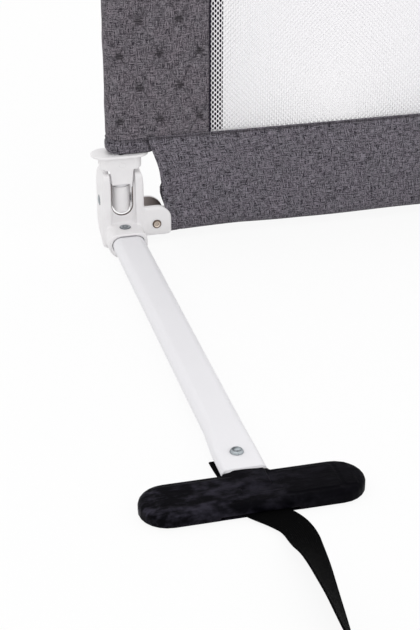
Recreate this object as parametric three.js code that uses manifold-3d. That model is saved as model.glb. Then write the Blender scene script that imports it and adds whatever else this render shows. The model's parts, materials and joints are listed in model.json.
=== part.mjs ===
// Folding bed guard rail, one end fully detailed and mirrored to the other.
// Millimetres, +Z up, +X along the rail, -Y towards the mattress. The origin is on the
// resting plane, under the middle of the rail and of its depth without the straps.
// Each corner is drawn in its own frame: x = 0 and y = 0 on the upright's axis, with x
// growing towards the rail's middle. The right corner is the left one mirrored.
import * as THREE from 'three';
import { mergeVertices } from 'three/addons/utils/BufferGeometryUtils.js';
import Module from 'manifold-3d';

const wasm = await Module();
wasm.setup();

// Running gaps and the overrun of cutting bodies
const seatGap = 0.3;
const cutOverrun = 5;

// Whole rail
const railLength = 1500;
const railTop = 450;
const armReach = 472;

// Round frame tube: uprights, bent corners and top bar
const tubeDiameter = 17;
const tubeWall = 1;
const bendRadius = 60;
const cornerLeg = 200;
const jointSleeveLength = 80;
const jointSleeveWall = 1.5;
const jointScrewOffset = 20;
const jointScrewRadius = 1.6;
const jointScrewHeadRadius = 3;
const jointScrewHeadHeight = 1.4;

// Pivot, a little behind the upright's axis
const pivotHeight = 42.3;
const pivotBack = 3;
const pinRadius = 3;
const pinHeadRadius = 5.5;
const pinHeadHeight = 1.7;
const pinHeadRecess = 0.8;

// Hinge housing
const housingHalfWidth = 20;
const housingFront = 14;
const housingBack = 18;
const housingArcRadius = 35;
const housingTopBackRadius = 14;
const housingBackBottom = 28;
const housingHeelDepth = 9;
const housingHeelHeight = 10.5;
const housingCornerRadius = 3.5;
const legTop = 72;
const cheekTopInset = 4;
const cheekTopStart = 54;
const cheekTopTurn = 68;
const cheekTopEnd = 77;
const legTopRadius = 5;
const panelFront = 8.4;
const panelThickness = 2.1;
const panelTop = 62;
const slotHalfWidth = 9.8;
const slotCentre = 39.4;
const cavityHalfWidth = 12;
const bossRadius = 4.6;
const coringInner = 14.5;
const coringOuter = 17.5;
const coringFront = 9;
const coringBottom = 25;
const coringTop = 57;

// Socket that holds the arm
const socketHalfWidth = 18;
const socketLength = 35;
const socketLip = 4;
const socketLipHeight = 7;
const socketRoof = 3;
const socketTopRadius = 7;
const socketBottomRadius = 8;
const socketLipRadius = 10;
const socketRivetBack = 19;
const socketRivetRadius = 2.3;
const socketRivetHeadRadius = 5.6;
const socketRivetHeadHeight = 1.5;
const socketRivetRecess = 1.8;

// Clevis for the lower bar
const clevisReach = 46;
const clevisRoot = 17;
const clevisBottom = 7.2;
const clevisTop = 36.5;
const clevisTopRadius = 13;
const clevisBottomRadius = 4;
const clevisFrontThickness = 7;
const clevisBackThickness = 4;
const clevisFrontInset = 1;
const clevisBevel = 2.4;
const clevisBackReach = 43.5;
const clevisBackRadius = 16;
const eyeletPlace = 31.6;
const eyeletRadius = 3;
const eyeletBore = 1.7;
const eyeletLipRadius = 4.1;
const eyeletLipHeight = 0.9;

// Lower bar
const barDiameter = 20;
const barWall = 1.2;
const barHeight = 19;
const barEndGap = 3;

// Arm: flat-oval tube, drawn in inside the socket, flattened and then waisted where it enters the foot
const armWidth = 30;
const armHeight = 15;
const armWall = 1.2;
const armMiddle = 11;
const armSwage = 0.6;
const armFlatWidth = 33;
const armFlatHeight = 9;
const armFlatMiddle = 9.2;
const armEndWidth = 26;
const armEndHeight = 6;
const armEndMiddle = 7.9;
const armTaperStart = 372;
const armTaperEnd = 402;
const armFootRivet = 409.6;
const footRivetRadius = 2.3;
const footRivetHeadRadius = 5;
const footRivetHeadHeight = 2.6;
const footRivetTailRadius = 3.6;
const footRivetTailHeight = 1.2;

// T foot and its pads
const footLength = 160;
const footDepth = 41;
const footTop = 11.6;
const footUnderside = 0.8;
const footWallTop = 7.4;
const footShoulder = 4.4;
const footSoleInset = 1;
const footPocketWall = 24;
const humpTop = 13.5;
const humpBaseHalf = 16.5;
const humpTopHalf = 12;
const humpBelow = 3;
const humpRun = 18;
const humpRamp = 8;
const deckHeight = 0.7;
const deckInset = 6.5;
const deckRadius = 3;
const deckLeft = -68;
const deckLeftEnd = -13;
const deckRight = 21;
const deckRightEnd = 59.5;
const deckTip = 62;
const deckTipEnd = 71;
const cellInner = 33;
const cellOuter = 70;
const cellRib = 2.5;
const cellHalfDepth = 13;
const cellTop = 9.4;
const padInner = 30;
const padOuter = 74;
const padHalfDepth = 15.5;
const padCornerRadius = 10;
const padThickness = 2;
const padSeat = 1.5;

// Release collar
const collarHalfWidth = 19.5;
const collarHalfDepth = 11.2;
const collarCornerRadius = 7;
const collarTop = 89.5;
const flangeThickness = 2.8;
const flangeHalfLength = 27;
const flangeHalfDepth = 14;
const flangeBevel = 0.9;
const collarBodyTop = 87.5;
const collarArcGap = 0.6;
const tongueBottom = 60.7;
const tongueTopHalf = 11.2;
const tongueBottomHalf = 9.7;
const tongueOverlap = 16;
const latchTabWidth = 2;
const latchTabDrop = 3;
const collarTravel = 13;

// Collar pin, its spring and the plug above the spring
const crossPinHeight = 80;
const crossPinRadius = 2;
const springRadius = 5.2;
const springWireRadius = 0.55;
const springLength = 34;
const springTurns = 4;
const springPlugLength = 8;

// Knuckle
const knuckleRadius = 9;
const knuckleTop = 57.6;
const knuckleCentre = 40.4;
const knuckleSweep = 15;
const spigotLength = 13;

// Cloth cover
const clothThickness = 1.6;
const sleeveEdge = 12;
const sidePanelWidth = 85;
const topPanelHeight = 55;
const coverBottom = 104;
const coverBevel = 6;
const netThickness = 0.8;
const netColumns = 18;
const netRows = 3;
const netStrand = 6;
const netBorder = 3;
const cuffBottom = 91;
const cuffTop = 124;
const cuffInner = 26;
const skirtTop = 102;
const skirtStart = 32;
const skirtSlant = 11;
const skirtFlare = 7.2;
const skirtFlarePower = 4;
const skirtWave = 2.2;
const skirtWaveCount = 7;

// Safety strap
const strapWidth = 25;
const strapThickness = 1.5;
const strapTunnelHalf = 28;
const strapTunnelBottom = 1.7;
const strapTunnelTop = 3.7;
const strapCoilRadius = 66;
const strapCoilPitch = 9;
const strapCoilTurns = 2;
const strapCoilCentre = [72, -713];
const strapCurlRadius = 24;
const anchorLength = 62;
const anchorHeight = 30;
const anchorThickness = 4;
const anchorBevel = 1;
const tieThickness = 0.8;
const tieWidth = 12;

// Facets: steps in a quarter turn of smooth and of plain curves, sides of round pieces
const fineSteps = 6;
const coarseSteps = 4;
const bevelSteps = 2;
const roundSides = 24;
const tubeSides = 16;
const pinSides = 12;
const arcSides = 72;
const coilSteps = 24;
const springSteps = 8;
const springSides = 5;
// Points nearer than this are one point
const pointMerge = 0.0001;

// Sizes that follow from the ones above
const tubeRadius = tubeDiameter / 2;
const boreRadius = tubeRadius - tubeWall;
const axisX = railLength / 2 - sleeveEdge;
const topBarHeight = railTop - sleeveEdge;
const pivotY = (armReach - housingBack) / 2;
const armTop = armMiddle + armHeight / 2;
const ledgeHeight = armTop + socketRoof;
const socketBackY = -panelFront;
const panelBackY = panelThickness - panelFront;
const clevisFrontY = clevisFrontInset - housingFront;
const clevisGapFrontY = clevisFrontY + clevisFrontThickness;
const clevisGapBackY = housingBack - clevisBackThickness;
const barY = (clevisGapFrontY + clevisGapBackY) / 2;
const barRadius = barDiameter / 2;
const barStart = housingHalfWidth + barEndGap;
const footFrontY = -armReach;
const footMiddleY = footFrontY + footDepth / 2;
const footBackY = footFrontY + footDepth;
const footPocketEndY = footFrontY + footPocketWall;
const clothInner = tubeRadius + seatGap;
const clothOuter = clothInner + clothThickness;
const windowTop = railTop - topPanelHeight;
const clothLead = sidePanelWidth + seatGap;

const colours = {
  whitePlastic: { color: 0xe9e9eb, roughness: 0.42, metalness: 0 },
  whiteEnamel: { color: 0xe8e9ec, roughness: 0.3, metalness: 0 },
  blackPlastic: { color: 0x201f24, roughness: 0.5, metalness: 0 },
  rubber: { color: 0x17171a, roughness: 0.85, metalness: 0 },
  zinc: { color: 0xb9c2c8, roughness: 0.35, metalness: 1 },
  brass: { color: 0xa98452, roughness: 0.35, metalness: 1 },
  cloth: { color: 0x5f5a5f, roughness: 0.95, metalness: 0 },
  net: { color: 0xf2f2f3, roughness: 0.9, metalness: 0 },
  webbing: { color: 0x0b0b0c, roughness: 0.9, metalness: 0 },
};

// Closed outlines, anticlockwise lists of Vector2 without a repeated point

function arc(points, centreX, centreY, radius, from, to, steps) {
  for (let i = 0; i <= steps; i += 1) {
    const angle = from + (to - from) * i / steps;
    points.push(new THREE.Vector2(centreX + radius * Math.cos(angle), centreY + radius * Math.sin(angle)));
  }
}

function withoutRepeats(points) {
  return points.filter((p, i) => p.distanceTo(points[(i + points.length - 1) % points.length]) > pointMerge);
}

// Rectangle with its own radius at each corner: [right top, left top, left bottom, right bottom]
function roundedBox(left, right, bottom, top, radii, steps = fineSteps) {
  const points = [];
  const quarter = Math.PI / 2;
  const places = [[right, top, -1, -1], [left, top, 1, -1], [left, bottom, 1, 1], [right, bottom, -1, 1]];
  places.forEach(([x, y, inX, inY], i) => {
    const r = radii[i];
    if (r > 0) arc(points, x + inX * r, y + inY * r, r, i * quarter, (i + 1) * quarter, steps);
    else points.push(new THREE.Vector2(x, y));
  });
  return withoutRepeats(points);
}

function roundedPlate(halfWidth, halfHeight, radius, steps = fineSteps) {
  return roundedBox(-halfWidth, halfWidth, -halfHeight, halfHeight, [radius, radius, radius, radius], steps);
}

function circle(radius, sides) {
  const points = [];
  for (let i = 0; i < sides; i += 1) {
    const angle = 2 * Math.PI * i / sides;
    points.push(new THREE.Vector2(radius * Math.cos(angle), radius * Math.sin(angle)));
  }
  return points;
}

// Slabs: an outline given thickness along one axis. Outlines lie in (y, z), (x, z) or (x, y).

function extruded(outline, thickness, bevel, holes = [], bevelSegments = bevelSteps) {
  const shape = new THREE.Shape(outline);
  shape.holes = holes.map((hole) => new THREE.Path(hole));
  return new THREE.ExtrudeGeometry(shape, {
    depth: thickness - 2 * bevel,
    bevelEnabled: bevel > 0,
    bevelThickness: bevel,
    bevelSize: bevel,
    bevelOffset: -bevel,
    bevelSegments,
    steps: 1,
  }).translate(0, 0, bevel);
}

function slabX(outline, from, to, bevel = 0, segments = bevelSteps) {
  const turn = new THREE.Matrix4().makeBasis(
    new THREE.Vector3(0, 1, 0), new THREE.Vector3(0, 0, 1), new THREE.Vector3(1, 0, 0));
  return extruded(outline, to - from, bevel, [], segments).applyMatrix4(turn).translate(from, 0, 0);
}

function slabY(outline, from, to, bevel = 0, holes = [], segments = bevelSteps) {
  return extruded(outline, to - from, bevel, holes, segments).rotateX(Math.PI / 2).translate(0, to, 0);
}

function slabZ(outline, from, to, bevel = 0) {
  return extruded(outline, to - from, bevel).translate(0, 0, from);
}

function block(x0, x1, y0, y1, z0, z1) {
  return new THREE.BoxGeometry(x1 - x0, y1 - y0, z1 - z0)
    .translate((x0 + x1) / 2, (y0 + y1) / 2, (z0 + z1) / 2);
}

// Rods between two values along an axis

function rodX(radius, from, to, y, z, sides = pinSides) {
  return slabX(circle(radius, sides), from, to).translate(0, y, z);
}

function rodY(radius, from, to, x, z, sides = pinSides) {
  return slabY(circle(radius, sides), from, to).translate(x, 0, z);
}

function rodZ(radius, from, to, x, y, sides = pinSides) {
  return slabZ(circle(radius, sides), from, to).translate(x, y, 0);
}

// A turned piece about Z from a profile of [radius, height] pairs
function turned(profile, sides = pinSides) {
  const points = profile.map(([radius, height]) => new THREE.Vector2(radius, height));
  return new THREE.LatheGeometry(points, sides).rotateX(Math.PI / 2);
}

// Joining and cutting

function solid(geometry) {
  const bare = geometry.clone();
  bare.deleteAttribute('normal');
  bare.deleteAttribute('uv');
  const merged = mergeVertices(bare, pointMerge);
  return new wasm.Manifold(new wasm.Mesh({
    numProp: 3,
    vertProperties: new Float32Array(merged.attributes.position.array),
    triVerts: new Uint32Array(merged.index.array),
  }));
}

function geometryOf(body) {
  const mesh = body.getMesh();
  const geometry = new THREE.BufferGeometry();
  geometry.setAttribute('position', new THREE.BufferAttribute(new Float32Array(mesh.vertProperties), 3));
  geometry.setIndex(new THREE.BufferAttribute(new Uint32Array(mesh.triVerts), 1));
  geometry.computeVertexNormals();
  return geometry;
}

function joined(first, ...others) {
  return others.reduce((body, next) => body.add(solid(next)), first);
}

function cut(first, ...others) {
  return others.reduce((body, next) => body.subtract(solid(next)), first);
}

// Sweeps: rings of points joined into a closed body, solid or hollow

function station(at, right, up) {
  return { at, right, up };
}

function ringAt(place, section) {
  return section.map((p) => place.at.clone()
    .addScaledVector(place.right, p.x)
    .addScaledVector(place.up, p.y));
}

function closedMesh(positions, faces) {
  const geometry = new THREE.BufferGeometry();
  const numbers = positions.flatMap((p) => [p.x, p.y, p.z]);
  geometry.setAttribute('position', new THREE.Float32BufferAttribute(numbers, 3));
  geometry.setIndex(faces);
  geometry.computeVertexNormals();
  return geometry;
}

function wallFaces(faces, rings, count, start, inward) {
  for (let i = 0; i + 1 < rings; i += 1) {
    for (let j = 0; j < count; j += 1) {
      const a = start + i * count + j;
      const b = start + i * count + (j + 1) % count;
      const c = b + count;
      const d = a + count;
      if (inward) faces.push(a, c, b, a, d, c);
      else faces.push(a, b, c, a, c, d);
    }
  }
}

// right x up points along the sweep, so that an anticlockwise section faces outwards
function sweptSolid(rings, section) {
  const count = section.length;
  const faces = [];
  wallFaces(faces, rings.length, count, 0, false);
  const last = (rings.length - 1) * count;
  THREE.ShapeUtils.triangulateShape(section, []).forEach(([a, b, c]) => {
    faces.push(a, c, b);
    faces.push(last + a, last + b, last + c);
  });
  return closedMesh(rings.flat(), faces);
}

function sweptTube(outer, inner) {
  const count = outer[0].length;
  const start = outer.length * count;
  const faces = [];
  wallFaces(faces, outer.length, count, 0, false);
  wallFaces(faces, inner.length, count, start, true);
  const last = (outer.length - 1) * count;
  for (let j = 0; j < count; j += 1) {
    const k = (j + 1) % count;
    faces.push(j, start + j, start + k, j, start + k, k);
    faces.push(last + j, last + k, start + last + k, last + j, start + last + k, start + last + j);
  }
  return closedMesh([...outer.flat(), ...inner.flat()], faces);
}

// A tube of one round section along a list of stations
function pipe(stations, radius, wall) {
  const outer = circle(radius, tubeSides);
  const inner = circle(radius - wall, tubeSides);
  return sweptTube(stations.map((s) => ringAt(s, outer)), stations.map((s) => ringAt(s, inner)));
}

function straightX(from, to, y, z) {
  const right = new THREE.Vector3(0, 1, 0);
  const up = new THREE.Vector3(0, 0, 1);
  return [from, to].map((x) => station(new THREE.Vector3(x, y, z), right, up));
}

// Hinge housing

// Outline of a cheek in (y, z): the top is round about the pivot, the back corner eased
function cheekOutline() {
  const inset = housingArcRadius - housingTopBackRadius;
  const backCentreY = housingBack - housingTopBackRadius;
  const backCentreZ = pivotHeight + Math.sqrt(inset ** 2 - (backCentreY - pivotBack) ** 2);
  const frontAngle = Math.acos((-housingFront - pivotBack) / housingArcRadius);
  const meetAngle = Math.atan2(backCentreZ - pivotHeight, backCentreY - pivotBack);
  const points = [];
  points.push(new THREE.Vector2(-housingFront, 0));
  arc(points, pivotBack, pivotHeight, housingArcRadius, frontAngle, meetAngle, fineSteps);
  arc(points, backCentreY, backCentreZ, housingTopBackRadius, meetAngle, 0, coarseSteps);
  const heel = new THREE.QuadraticBezierCurve(
    new THREE.Vector2(housingBack, housingBackBottom),
    new THREE.Vector2(housingBack, (housingBackBottom + housingHeelHeight) / 2),
    new THREE.Vector2(housingHeelDepth, housingHeelHeight));
  points.push(...heel.getPoints(coarseSteps));
  return withoutRepeats(points).reverse();
}

// Outline of both cheeks from the front, their tops drawn in
function shoulderOutline() {
  const ease = (side) => new THREE.QuadraticBezierCurve(
    new THREE.Vector2(side * housingHalfWidth, cheekTopStart),
    new THREE.Vector2(side * housingHalfWidth, cheekTopTurn),
    new THREE.Vector2(side * (housingHalfWidth - cheekTopInset), cheekTopEnd)).getPoints(coarseSteps);
  return [new THREE.Vector2(-housingHalfWidth, 0), new THREE.Vector2(housingHalfWidth, 0),
    ...ease(1), ...ease(-1).reverse()];
}

// What is cut away above the front legs, whose own top edge is round
function legTopCut(frontCut, highCut) {
  const roundZ = legTop - legTopRadius;
  const points = [new THREE.Vector2(frontCut, highCut), new THREE.Vector2(frontCut, roundZ),
    new THREE.Vector2(-housingFront, roundZ)];
  const round = [];
  arc(round, legTopRadius - housingFront, roundZ, legTopRadius, Math.PI, Math.PI / 2, coarseSteps);
  points.push(...round.slice(1));
  points.push(new THREE.Vector2(panelBackY, legTop), new THREE.Vector2(panelBackY, highCut));
  return slabX(points, -housingHalfWidth - cutOverrun, housingHalfWidth + cutOverrun);
}

function socketBody() {
  const radii = [socketTopRadius, socketTopRadius, socketBottomRadius, socketBottomRadius];
  const outline = roundedBox(-socketHalfWidth, socketHalfWidth, 0, ledgeHeight, radii);
  const sleeve = solid(slabY(outline, -socketLength, socketBackY));
  const plan = roundedBox(-socketHalfWidth, socketHalfWidth, -socketLength - socketLip, socketBackY,
    [0, 0, socketLipRadius, socketLipRadius]);
  const lip = solid(slabZ(plan, 0, socketLipHeight))
    .intersect(solid(slabY(outline, -socketLength - socketLip, socketBackY)));
  return sleeve.add(lip);
}

function clevisTabs() {
  const front = roundedBox(clevisRoot, clevisReach, clevisBottom, clevisTop,
    [clevisTopRadius, 0, 0, clevisBottomRadius]);
  const back = roundedBox(clevisRoot, clevisBackReach, clevisBottom, clevisTop,
    [clevisBackRadius, 0, 0, clevisBottomRadius]);
  // Beside the cheek nothing stands out past the arc that the collar sweeps
  const past = housingHalfWidth + cutOverrun;
  const beside = block(-housingHalfWidth, housingHalfWidth, -past, past, -cutOverrun, pivotHeight);
  const swept = solid(beside).subtract(solid(
    rodX(housingArcRadius, -past, past, pivotBack, pivotHeight, arcSides)));
  return [
    slabY(front, clevisFrontY, clevisGapFrontY, clevisBevel),
    geometryOf(solid(slabY(back, clevisGapBackY, housingBack)).subtract(swept)),
  ];
}

function hingeHousing() {
  const radius = housingCornerRadius;
  const plan = roundedBox(-housingHalfWidth, housingHalfWidth, -housingFront, housingBack,
    [radius, radius, radius, radius], coarseSteps);
  const highCut = railTop;
  const backCut = housingBack + cutOverrun;
  const frontCut = -socketLength - socketLip - cutOverrun;
  const sideCut = housingHalfWidth + cutOverrun;
  let body = solid(slabX(cheekOutline(), -housingHalfWidth, housingHalfWidth))
    .intersect(solid(slabZ(plan, 0, highCut)))
    .intersect(solid(slabY(shoulderOutline(), frontCut, backCut)));
  body = cut(body, legTopCut(frontCut, highCut));
  body = joined(body.add(socketBody()), ...clevisTabs());
  body = cut(body,
    block(-cavityHalfWidth, cavityHalfWidth, panelBackY, backCut, -cutOverrun, highCut),
    block(-cavityHalfWidth, cavityHalfWidth, frontCut, -panelFront, ledgeHeight, highCut),
    block(-cavityHalfWidth, cavityHalfWidth, frontCut, backCut, panelTop, highCut),
    block(-slotHalfWidth, slotHalfWidth, frontCut, backCut, slotCentre, highCut),
    rodY(slotHalfWidth, frontCut, panelBackY + cutOverrun, 0, slotCentre, roundSides));
  const bossInner = knuckleRadius + seatGap;
  const bossOuter = cavityHalfWidth + seatGap;
  for (const side of [-1, 1]) {
    const pocket = block(coringInner, coringOuter, coringFront, backCut, coringBottom, coringTop);
    const boss = rodX(bossRadius, bossInner, bossOuter, pivotBack, pivotHeight);
    body = cut(body, side < 0 ? mirrored(pocket) : pocket);
    body = joined(body, side < 0 ? mirrored(boss) : boss);
  }
  const armWay = roundedPlate(armWidth / 2 + seatGap, armHeight / 2 + seatGap, armHeight / 2 + seatGap,
    coarseSteps);
  const pinFace = housingHalfWidth - pinHeadRecess;
  body = cut(body,
    slabY(armWay, frontCut, socketBackY - seatGap).translate(0, 0, armMiddle),
    rodX(pinRadius + seatGap, -sideCut, sideCut, pivotBack, pivotHeight),
    rodX(pinHeadRadius + seatGap, -sideCut, -pinFace, pivotBack, pivotHeight),
    rodX(pinHeadRadius + seatGap, pinFace, sideCut, pivotBack, pivotHeight),
    rodZ(socketRivetRadius + seatGap, -cutOverrun, ledgeHeight + cutOverrun, 0, -socketRivetBack),
    rodZ(socketRivetHeadRadius, -cutOverrun, socketRivetRecess, 0, -socketRivetBack),
    rodY(eyeletRadius + seatGap, frontCut, backCut, eyeletPlace, barHeight));
  return geometryOf(body);
}

// Fasteners

function domeProfile(shankRadius, headRadius, headHeight, shankFrom, shankTo) {
  const dome = [];
  for (let i = 1; i <= coarseSteps; i += 1) {
    const angle = Math.PI / 2 * i / coarseSteps;
    dome.push([headRadius * Math.cos(angle), shankTo + headHeight * Math.sin(angle)]);
  }
  dome[dome.length - 1][0] = 0;
  return [[shankRadius, shankFrom], [shankRadius, shankTo], [headRadius, shankTo], ...dome];
}

function pivotPin() {
  const faceX = housingHalfWidth - pinHeadRecess + seatGap;
  const head = domeProfile(pinRadius, pinHeadRadius, pinHeadHeight, 0, faceX);
  const tail = head.slice(1).reverse().map(([radius, height]) => [radius, -height]);
  return turned([...tail, ...head.slice(1)]).rotateY(Math.PI / 2)
    .translate(0, pivotBack, pivotHeight);
}

function socketRivet() {
  const bottom = socketRivetRecess - socketRivetHeadHeight;
  const dome = domeProfile(socketRivetRadius, socketRivetHeadRadius, socketRivetHeadHeight, 0,
    ledgeHeight + seatGap);
  const profile = [[0, bottom], [socketRivetHeadRadius - seatGap, bottom],
    [socketRivetHeadRadius - seatGap, socketRivetRecess - seatGap],
    [socketRivetRadius, socketRivetRecess - seatGap], ...dome.slice(1)];
  return turned(profile).translate(0, -socketRivetBack, 0);
}

function eyelet() {
  const front = clevisFrontY - seatGap;
  const back = housingBack + seatGap;
  const rim = eyeletLipRadius - eyeletLipHeight;
  const profile = [[eyeletBore, front - eyeletLipHeight], [rim, front - eyeletLipHeight],
    [eyeletLipRadius, front], [eyeletRadius, front], [eyeletRadius, back], [eyeletLipRadius, back],
    [rim, back + eyeletLipHeight], [eyeletBore, back + eyeletLipHeight],
    [eyeletBore, front - eyeletLipHeight]];
  return turned(profile).rotateX(-Math.PI / 2).translate(eyeletPlace, 0, barHeight);
}

function footRivet() {
  const under = armFlatMiddle - armFlatHeight / 2 - seatGap;
  const over = armFlatMiddle + armFlatHeight / 2 + seatGap;
  const profile = [[0, under - footRivetTailHeight], [footRivetTailRadius, under - footRivetTailHeight],
    [footRivetTailRadius, under], [footRivetRadius, under],
    ...domeProfile(footRivetRadius, footRivetHeadRadius, footRivetHeadHeight, 0, over).slice(1)];
  return turned(profile).translate(0, -armFootRivet, 0);
}

// Arm

function armTube() {
  const full = { width: armWidth, height: armHeight, middle: armMiddle };
  const drawn = { width: armWidth - 2 * armSwage, height: armHeight - 2 * armSwage, middle: armMiddle };
  const flat = { width: armFlatWidth, height: armFlatHeight, middle: armFlatMiddle };
  const waisted = { width: armEndWidth, height: armEndHeight, middle: armEndMiddle };
  const places = [
    { y: socketBackY - 2 * seatGap, ...drawn },
    { y: armSwage - socketLength, ...drawn },
    { y: -socketLength - seatGap, ...full },
    { y: -armTaperStart, ...full },
    { y: -armTaperEnd, ...flat },
    { y: footBackY + 2 * seatGap, back: 1, ...flat },
    { y: footBackY, back: 1, ...waisted },
    { y: footPocketEndY + 2 * seatGap, ...waisted },
  ];
  const right = new THREE.Vector3(1, 0, 0);
  const up = new THREE.Vector3(0, 0, 1);
  const rings = (wall) => places.map((p) => ringAt(
    station(new THREE.Vector3(0, p.y + (p.back ? wall : 0), p.middle), right, up),
    roundedPlate(p.width / 2 - wall, p.height / 2 - wall, p.height / 2 - wall, coarseSteps)));
  const body = solid(sweptTube(rings(0), rings(armWall)));
  return geometryOf(cut(body,
    rodZ(socketRivetRadius + seatGap, -cutOverrun, ledgeHeight, 0, -socketRivetBack),
    rodZ(footRivetRadius + seatGap, -cutOverrun, ledgeHeight, 0, -armFootRivet)));
}

// T foot

// The body rises from its sole by a wall and a rounded shoulder
function footShell() {
  const half = footLength / 2;
  const levels = [[footSoleInset, footUnderside], [0, footUnderside + footSoleInset], [0, footWallTop]];
  for (let i = 1; i <= coarseSteps; i += 1) {
    const angle = Math.PI / 2 * i / coarseSteps;
    const rise = (footTop - footWallTop) * Math.sin(angle);
    levels.push([footShoulder * (1 - Math.cos(angle)), footWallTop + rise]);
  }
  const right = new THREE.Vector3(1, 0, 0);
  const up = new THREE.Vector3(0, 1, 0);
  const plan = (inset) => roundedPlate(half - inset, footDepth / 2 - inset, footDepth / 2 - inset);
  const rings = levels.map(([inset, z]) => ringAt(
    station(new THREE.Vector3(0, footMiddleY, z), right, up), plan(inset)));
  return sweptSolid(rings, plan(0));
}

// The hump covers the arm's end and runs out towards the front
function footHump() {
  const low = footTop - humpBelow;
  const slope = [];
  for (let i = 0; i <= coarseSteps; i += 1) {
    const share = i / coarseSteps;
    const rise = THREE.MathUtils.smoothstep(share, 0, 1);
    slope.push(new THREE.Vector2(humpBaseHalf + (humpTopHalf - humpBaseHalf) * share,
      footTop + (humpTop - footTop) * rise));
  }
  const section = [new THREE.Vector2(-humpBaseHalf, low), new THREE.Vector2(humpBaseHalf, low), ...slope,
    ...slope.map((p) => new THREE.Vector2(-p.x, p.y)).reverse()];
  const right = new THREE.Vector3(1, 0, 0);
  const up = new THREE.Vector3(0, 0, 1);
  const sunk = section.map((p) => new THREE.Vector2(p.x, low + (p.y - low) / humpBelow));
  const rings = [
    ringAt(station(new THREE.Vector3(0, footBackY, 0), right, up), section),
    ringAt(station(new THREE.Vector3(0, footBackY - humpRun, 0), right, up), section),
    ringAt(station(new THREE.Vector3(0, footBackY - humpRun - humpRamp, 0), right, up), sunk),
  ];
  return sweptSolid(rings, section);
}

// Low raised fields on the foot's deck
function footDecks() {
  const halfDepth = footDepth / 2 - deckInset;
  return [[deckLeft, deckLeftEnd], [deckRight, deckRightEnd], [deckTip, deckTipEnd]].map(([from, to]) => {
    const outline = roundedBox(from, to, -halfDepth, halfDepth,
      [deckRadius, deckRadius, deckRadius, deckRadius], 2);
    return slabZ(outline, footWallTop, footTop + deckHeight).translate(0, footMiddleY, 0);
  });
}

function footBody() {
  let body = joined(solid(footShell()), footHump(), ...footDecks());
  const pocket = roundedPlate(armEndWidth / 2 + seatGap, armEndHeight / 2 + seatGap,
    armEndHeight / 2 + seatGap, coarseSteps);
  body = cut(body, slabY(pocket, footPocketEndY, footBackY + cutOverrun).translate(0, 0, armEndMiddle));
  const slim = armWall + seatGap;
  const tongue = roundedPlate(armEndWidth / 2 - slim, armEndHeight / 2 - slim, armEndHeight / 2 - slim,
    coarseSteps);
  body = joined(body,
    slabY(tongue, footPocketEndY - seatGap, -armTaperEnd - seatGap).translate(0, 0, armEndMiddle));
  body = cut(body,
    rodZ(footRivetRadius + seatGap, 0, humpTop, 0, -armFootRivet),
    block(-strapTunnelHalf, strapTunnelHalf, footFrontY - cutOverrun, footBackY + cutOverrun,
      strapTunnelBottom, strapTunnelTop));
  const cellWidth = (cellOuter - cellInner - cellRib) / 2;
  const padSpace = slabZ(roundedBox(padInner - seatGap, padOuter + seatGap, -padHalfDepth - seatGap,
    padHalfDepth + seatGap, [padCornerRadius, 0, 0, padCornerRadius], coarseSteps),
  -cutOverrun, footUnderside + padSeat).translate(0, footMiddleY, 0);
  const cells = [cellInner, cellInner + cellWidth + cellRib].map((near) => block(near, near + cellWidth,
    footMiddleY - cellHalfDepth, footMiddleY + cellHalfDepth, -cutOverrun, cellTop));
  for (const piece of [padSpace, ...cells]) body = cut(body, piece, mirrored(piece));
  return geometryOf(body);
}

function footPad() {
  const outline = roundedBox(padInner, padOuter, -padHalfDepth, padHalfDepth,
    [padCornerRadius, 0, 0, padCornerRadius], coarseSteps);
  return slabZ(outline, 0, padThickness).translate(0, footMiddleY, 0);
}

// Knuckle and frame tubes

// Round from the front to nest in the housing's slot, and eased about the pivot to swing there
function knuckle() {
  const lowest = knuckleCentre - knuckleRadius;
  const reach = knuckleSweep + housingBack;
  const bottom = solid(rodY(knuckleRadius, -reach, reach, 0, knuckleCentre, roundSides))
    .add(solid(block(-reach, reach, -reach, reach, knuckleCentre, railTop)));
  const swing = solid(rodX(knuckleSweep, -reach, reach, pivotBack, pivotHeight, roundSides))
    .add(solid(block(-reach, reach, -reach, reach, pivotHeight, railTop)));
  let body = solid(rodZ(knuckleRadius, lowest, knuckleTop, 0, 0, roundSides));
  body = body.intersect(bottom).intersect(swing);
  body = joined(body, rodZ(boreRadius - seatGap, knuckleTop - tubeWall, knuckleTop + spigotLength, 0, 0,
    tubeSides));
  return geometryOf(cut(body, rodX(pinRadius + seatGap, -reach, reach, pivotBack, pivotHeight)));
}

function jointScrewHole() {
  return rodZ(jointScrewRadius + seatGap, topBarHeight - tubeDiameter, topBarHeight,
    cornerLeg - jointScrewOffset, 0);
}

function uprightTube() {
  const out = new THREE.Vector3(0, 1, 0);
  const places = [station(new THREE.Vector3(0, 0, knuckleTop + seatGap), new THREE.Vector3(1, 0, 0), out)];
  const centre = new THREE.Vector3(bendRadius, 0, topBarHeight - bendRadius);
  const bends = fineSteps;
  for (let i = 0; i <= bends; i += 1) {
    const angle = Math.PI / 2 * i / bends;
    const right = new THREE.Vector3(Math.cos(angle), 0, -Math.sin(angle));
    places.push(station(centre.clone().addScaledVector(right, -bendRadius), right, out));
  }
  places.push(station(new THREE.Vector3(cornerLeg, 0, topBarHeight), new THREE.Vector3(0, 0, -1), out));
  const body = solid(pipe(places, tubeRadius, tubeWall));
  const slotFrom = crossPinHeight - crossPinRadius - seatGap;
  const slotTo = crossPinHeight + collarTravel + crossPinRadius + seatGap;
  const slotHalf = crossPinRadius + seatGap;
  return geometryOf(cut(body,
    block(-slotHalf, slotHalf, -tubeDiameter, tubeDiameter, slotFrom, slotTo), jointScrewHole()));
}

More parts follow.
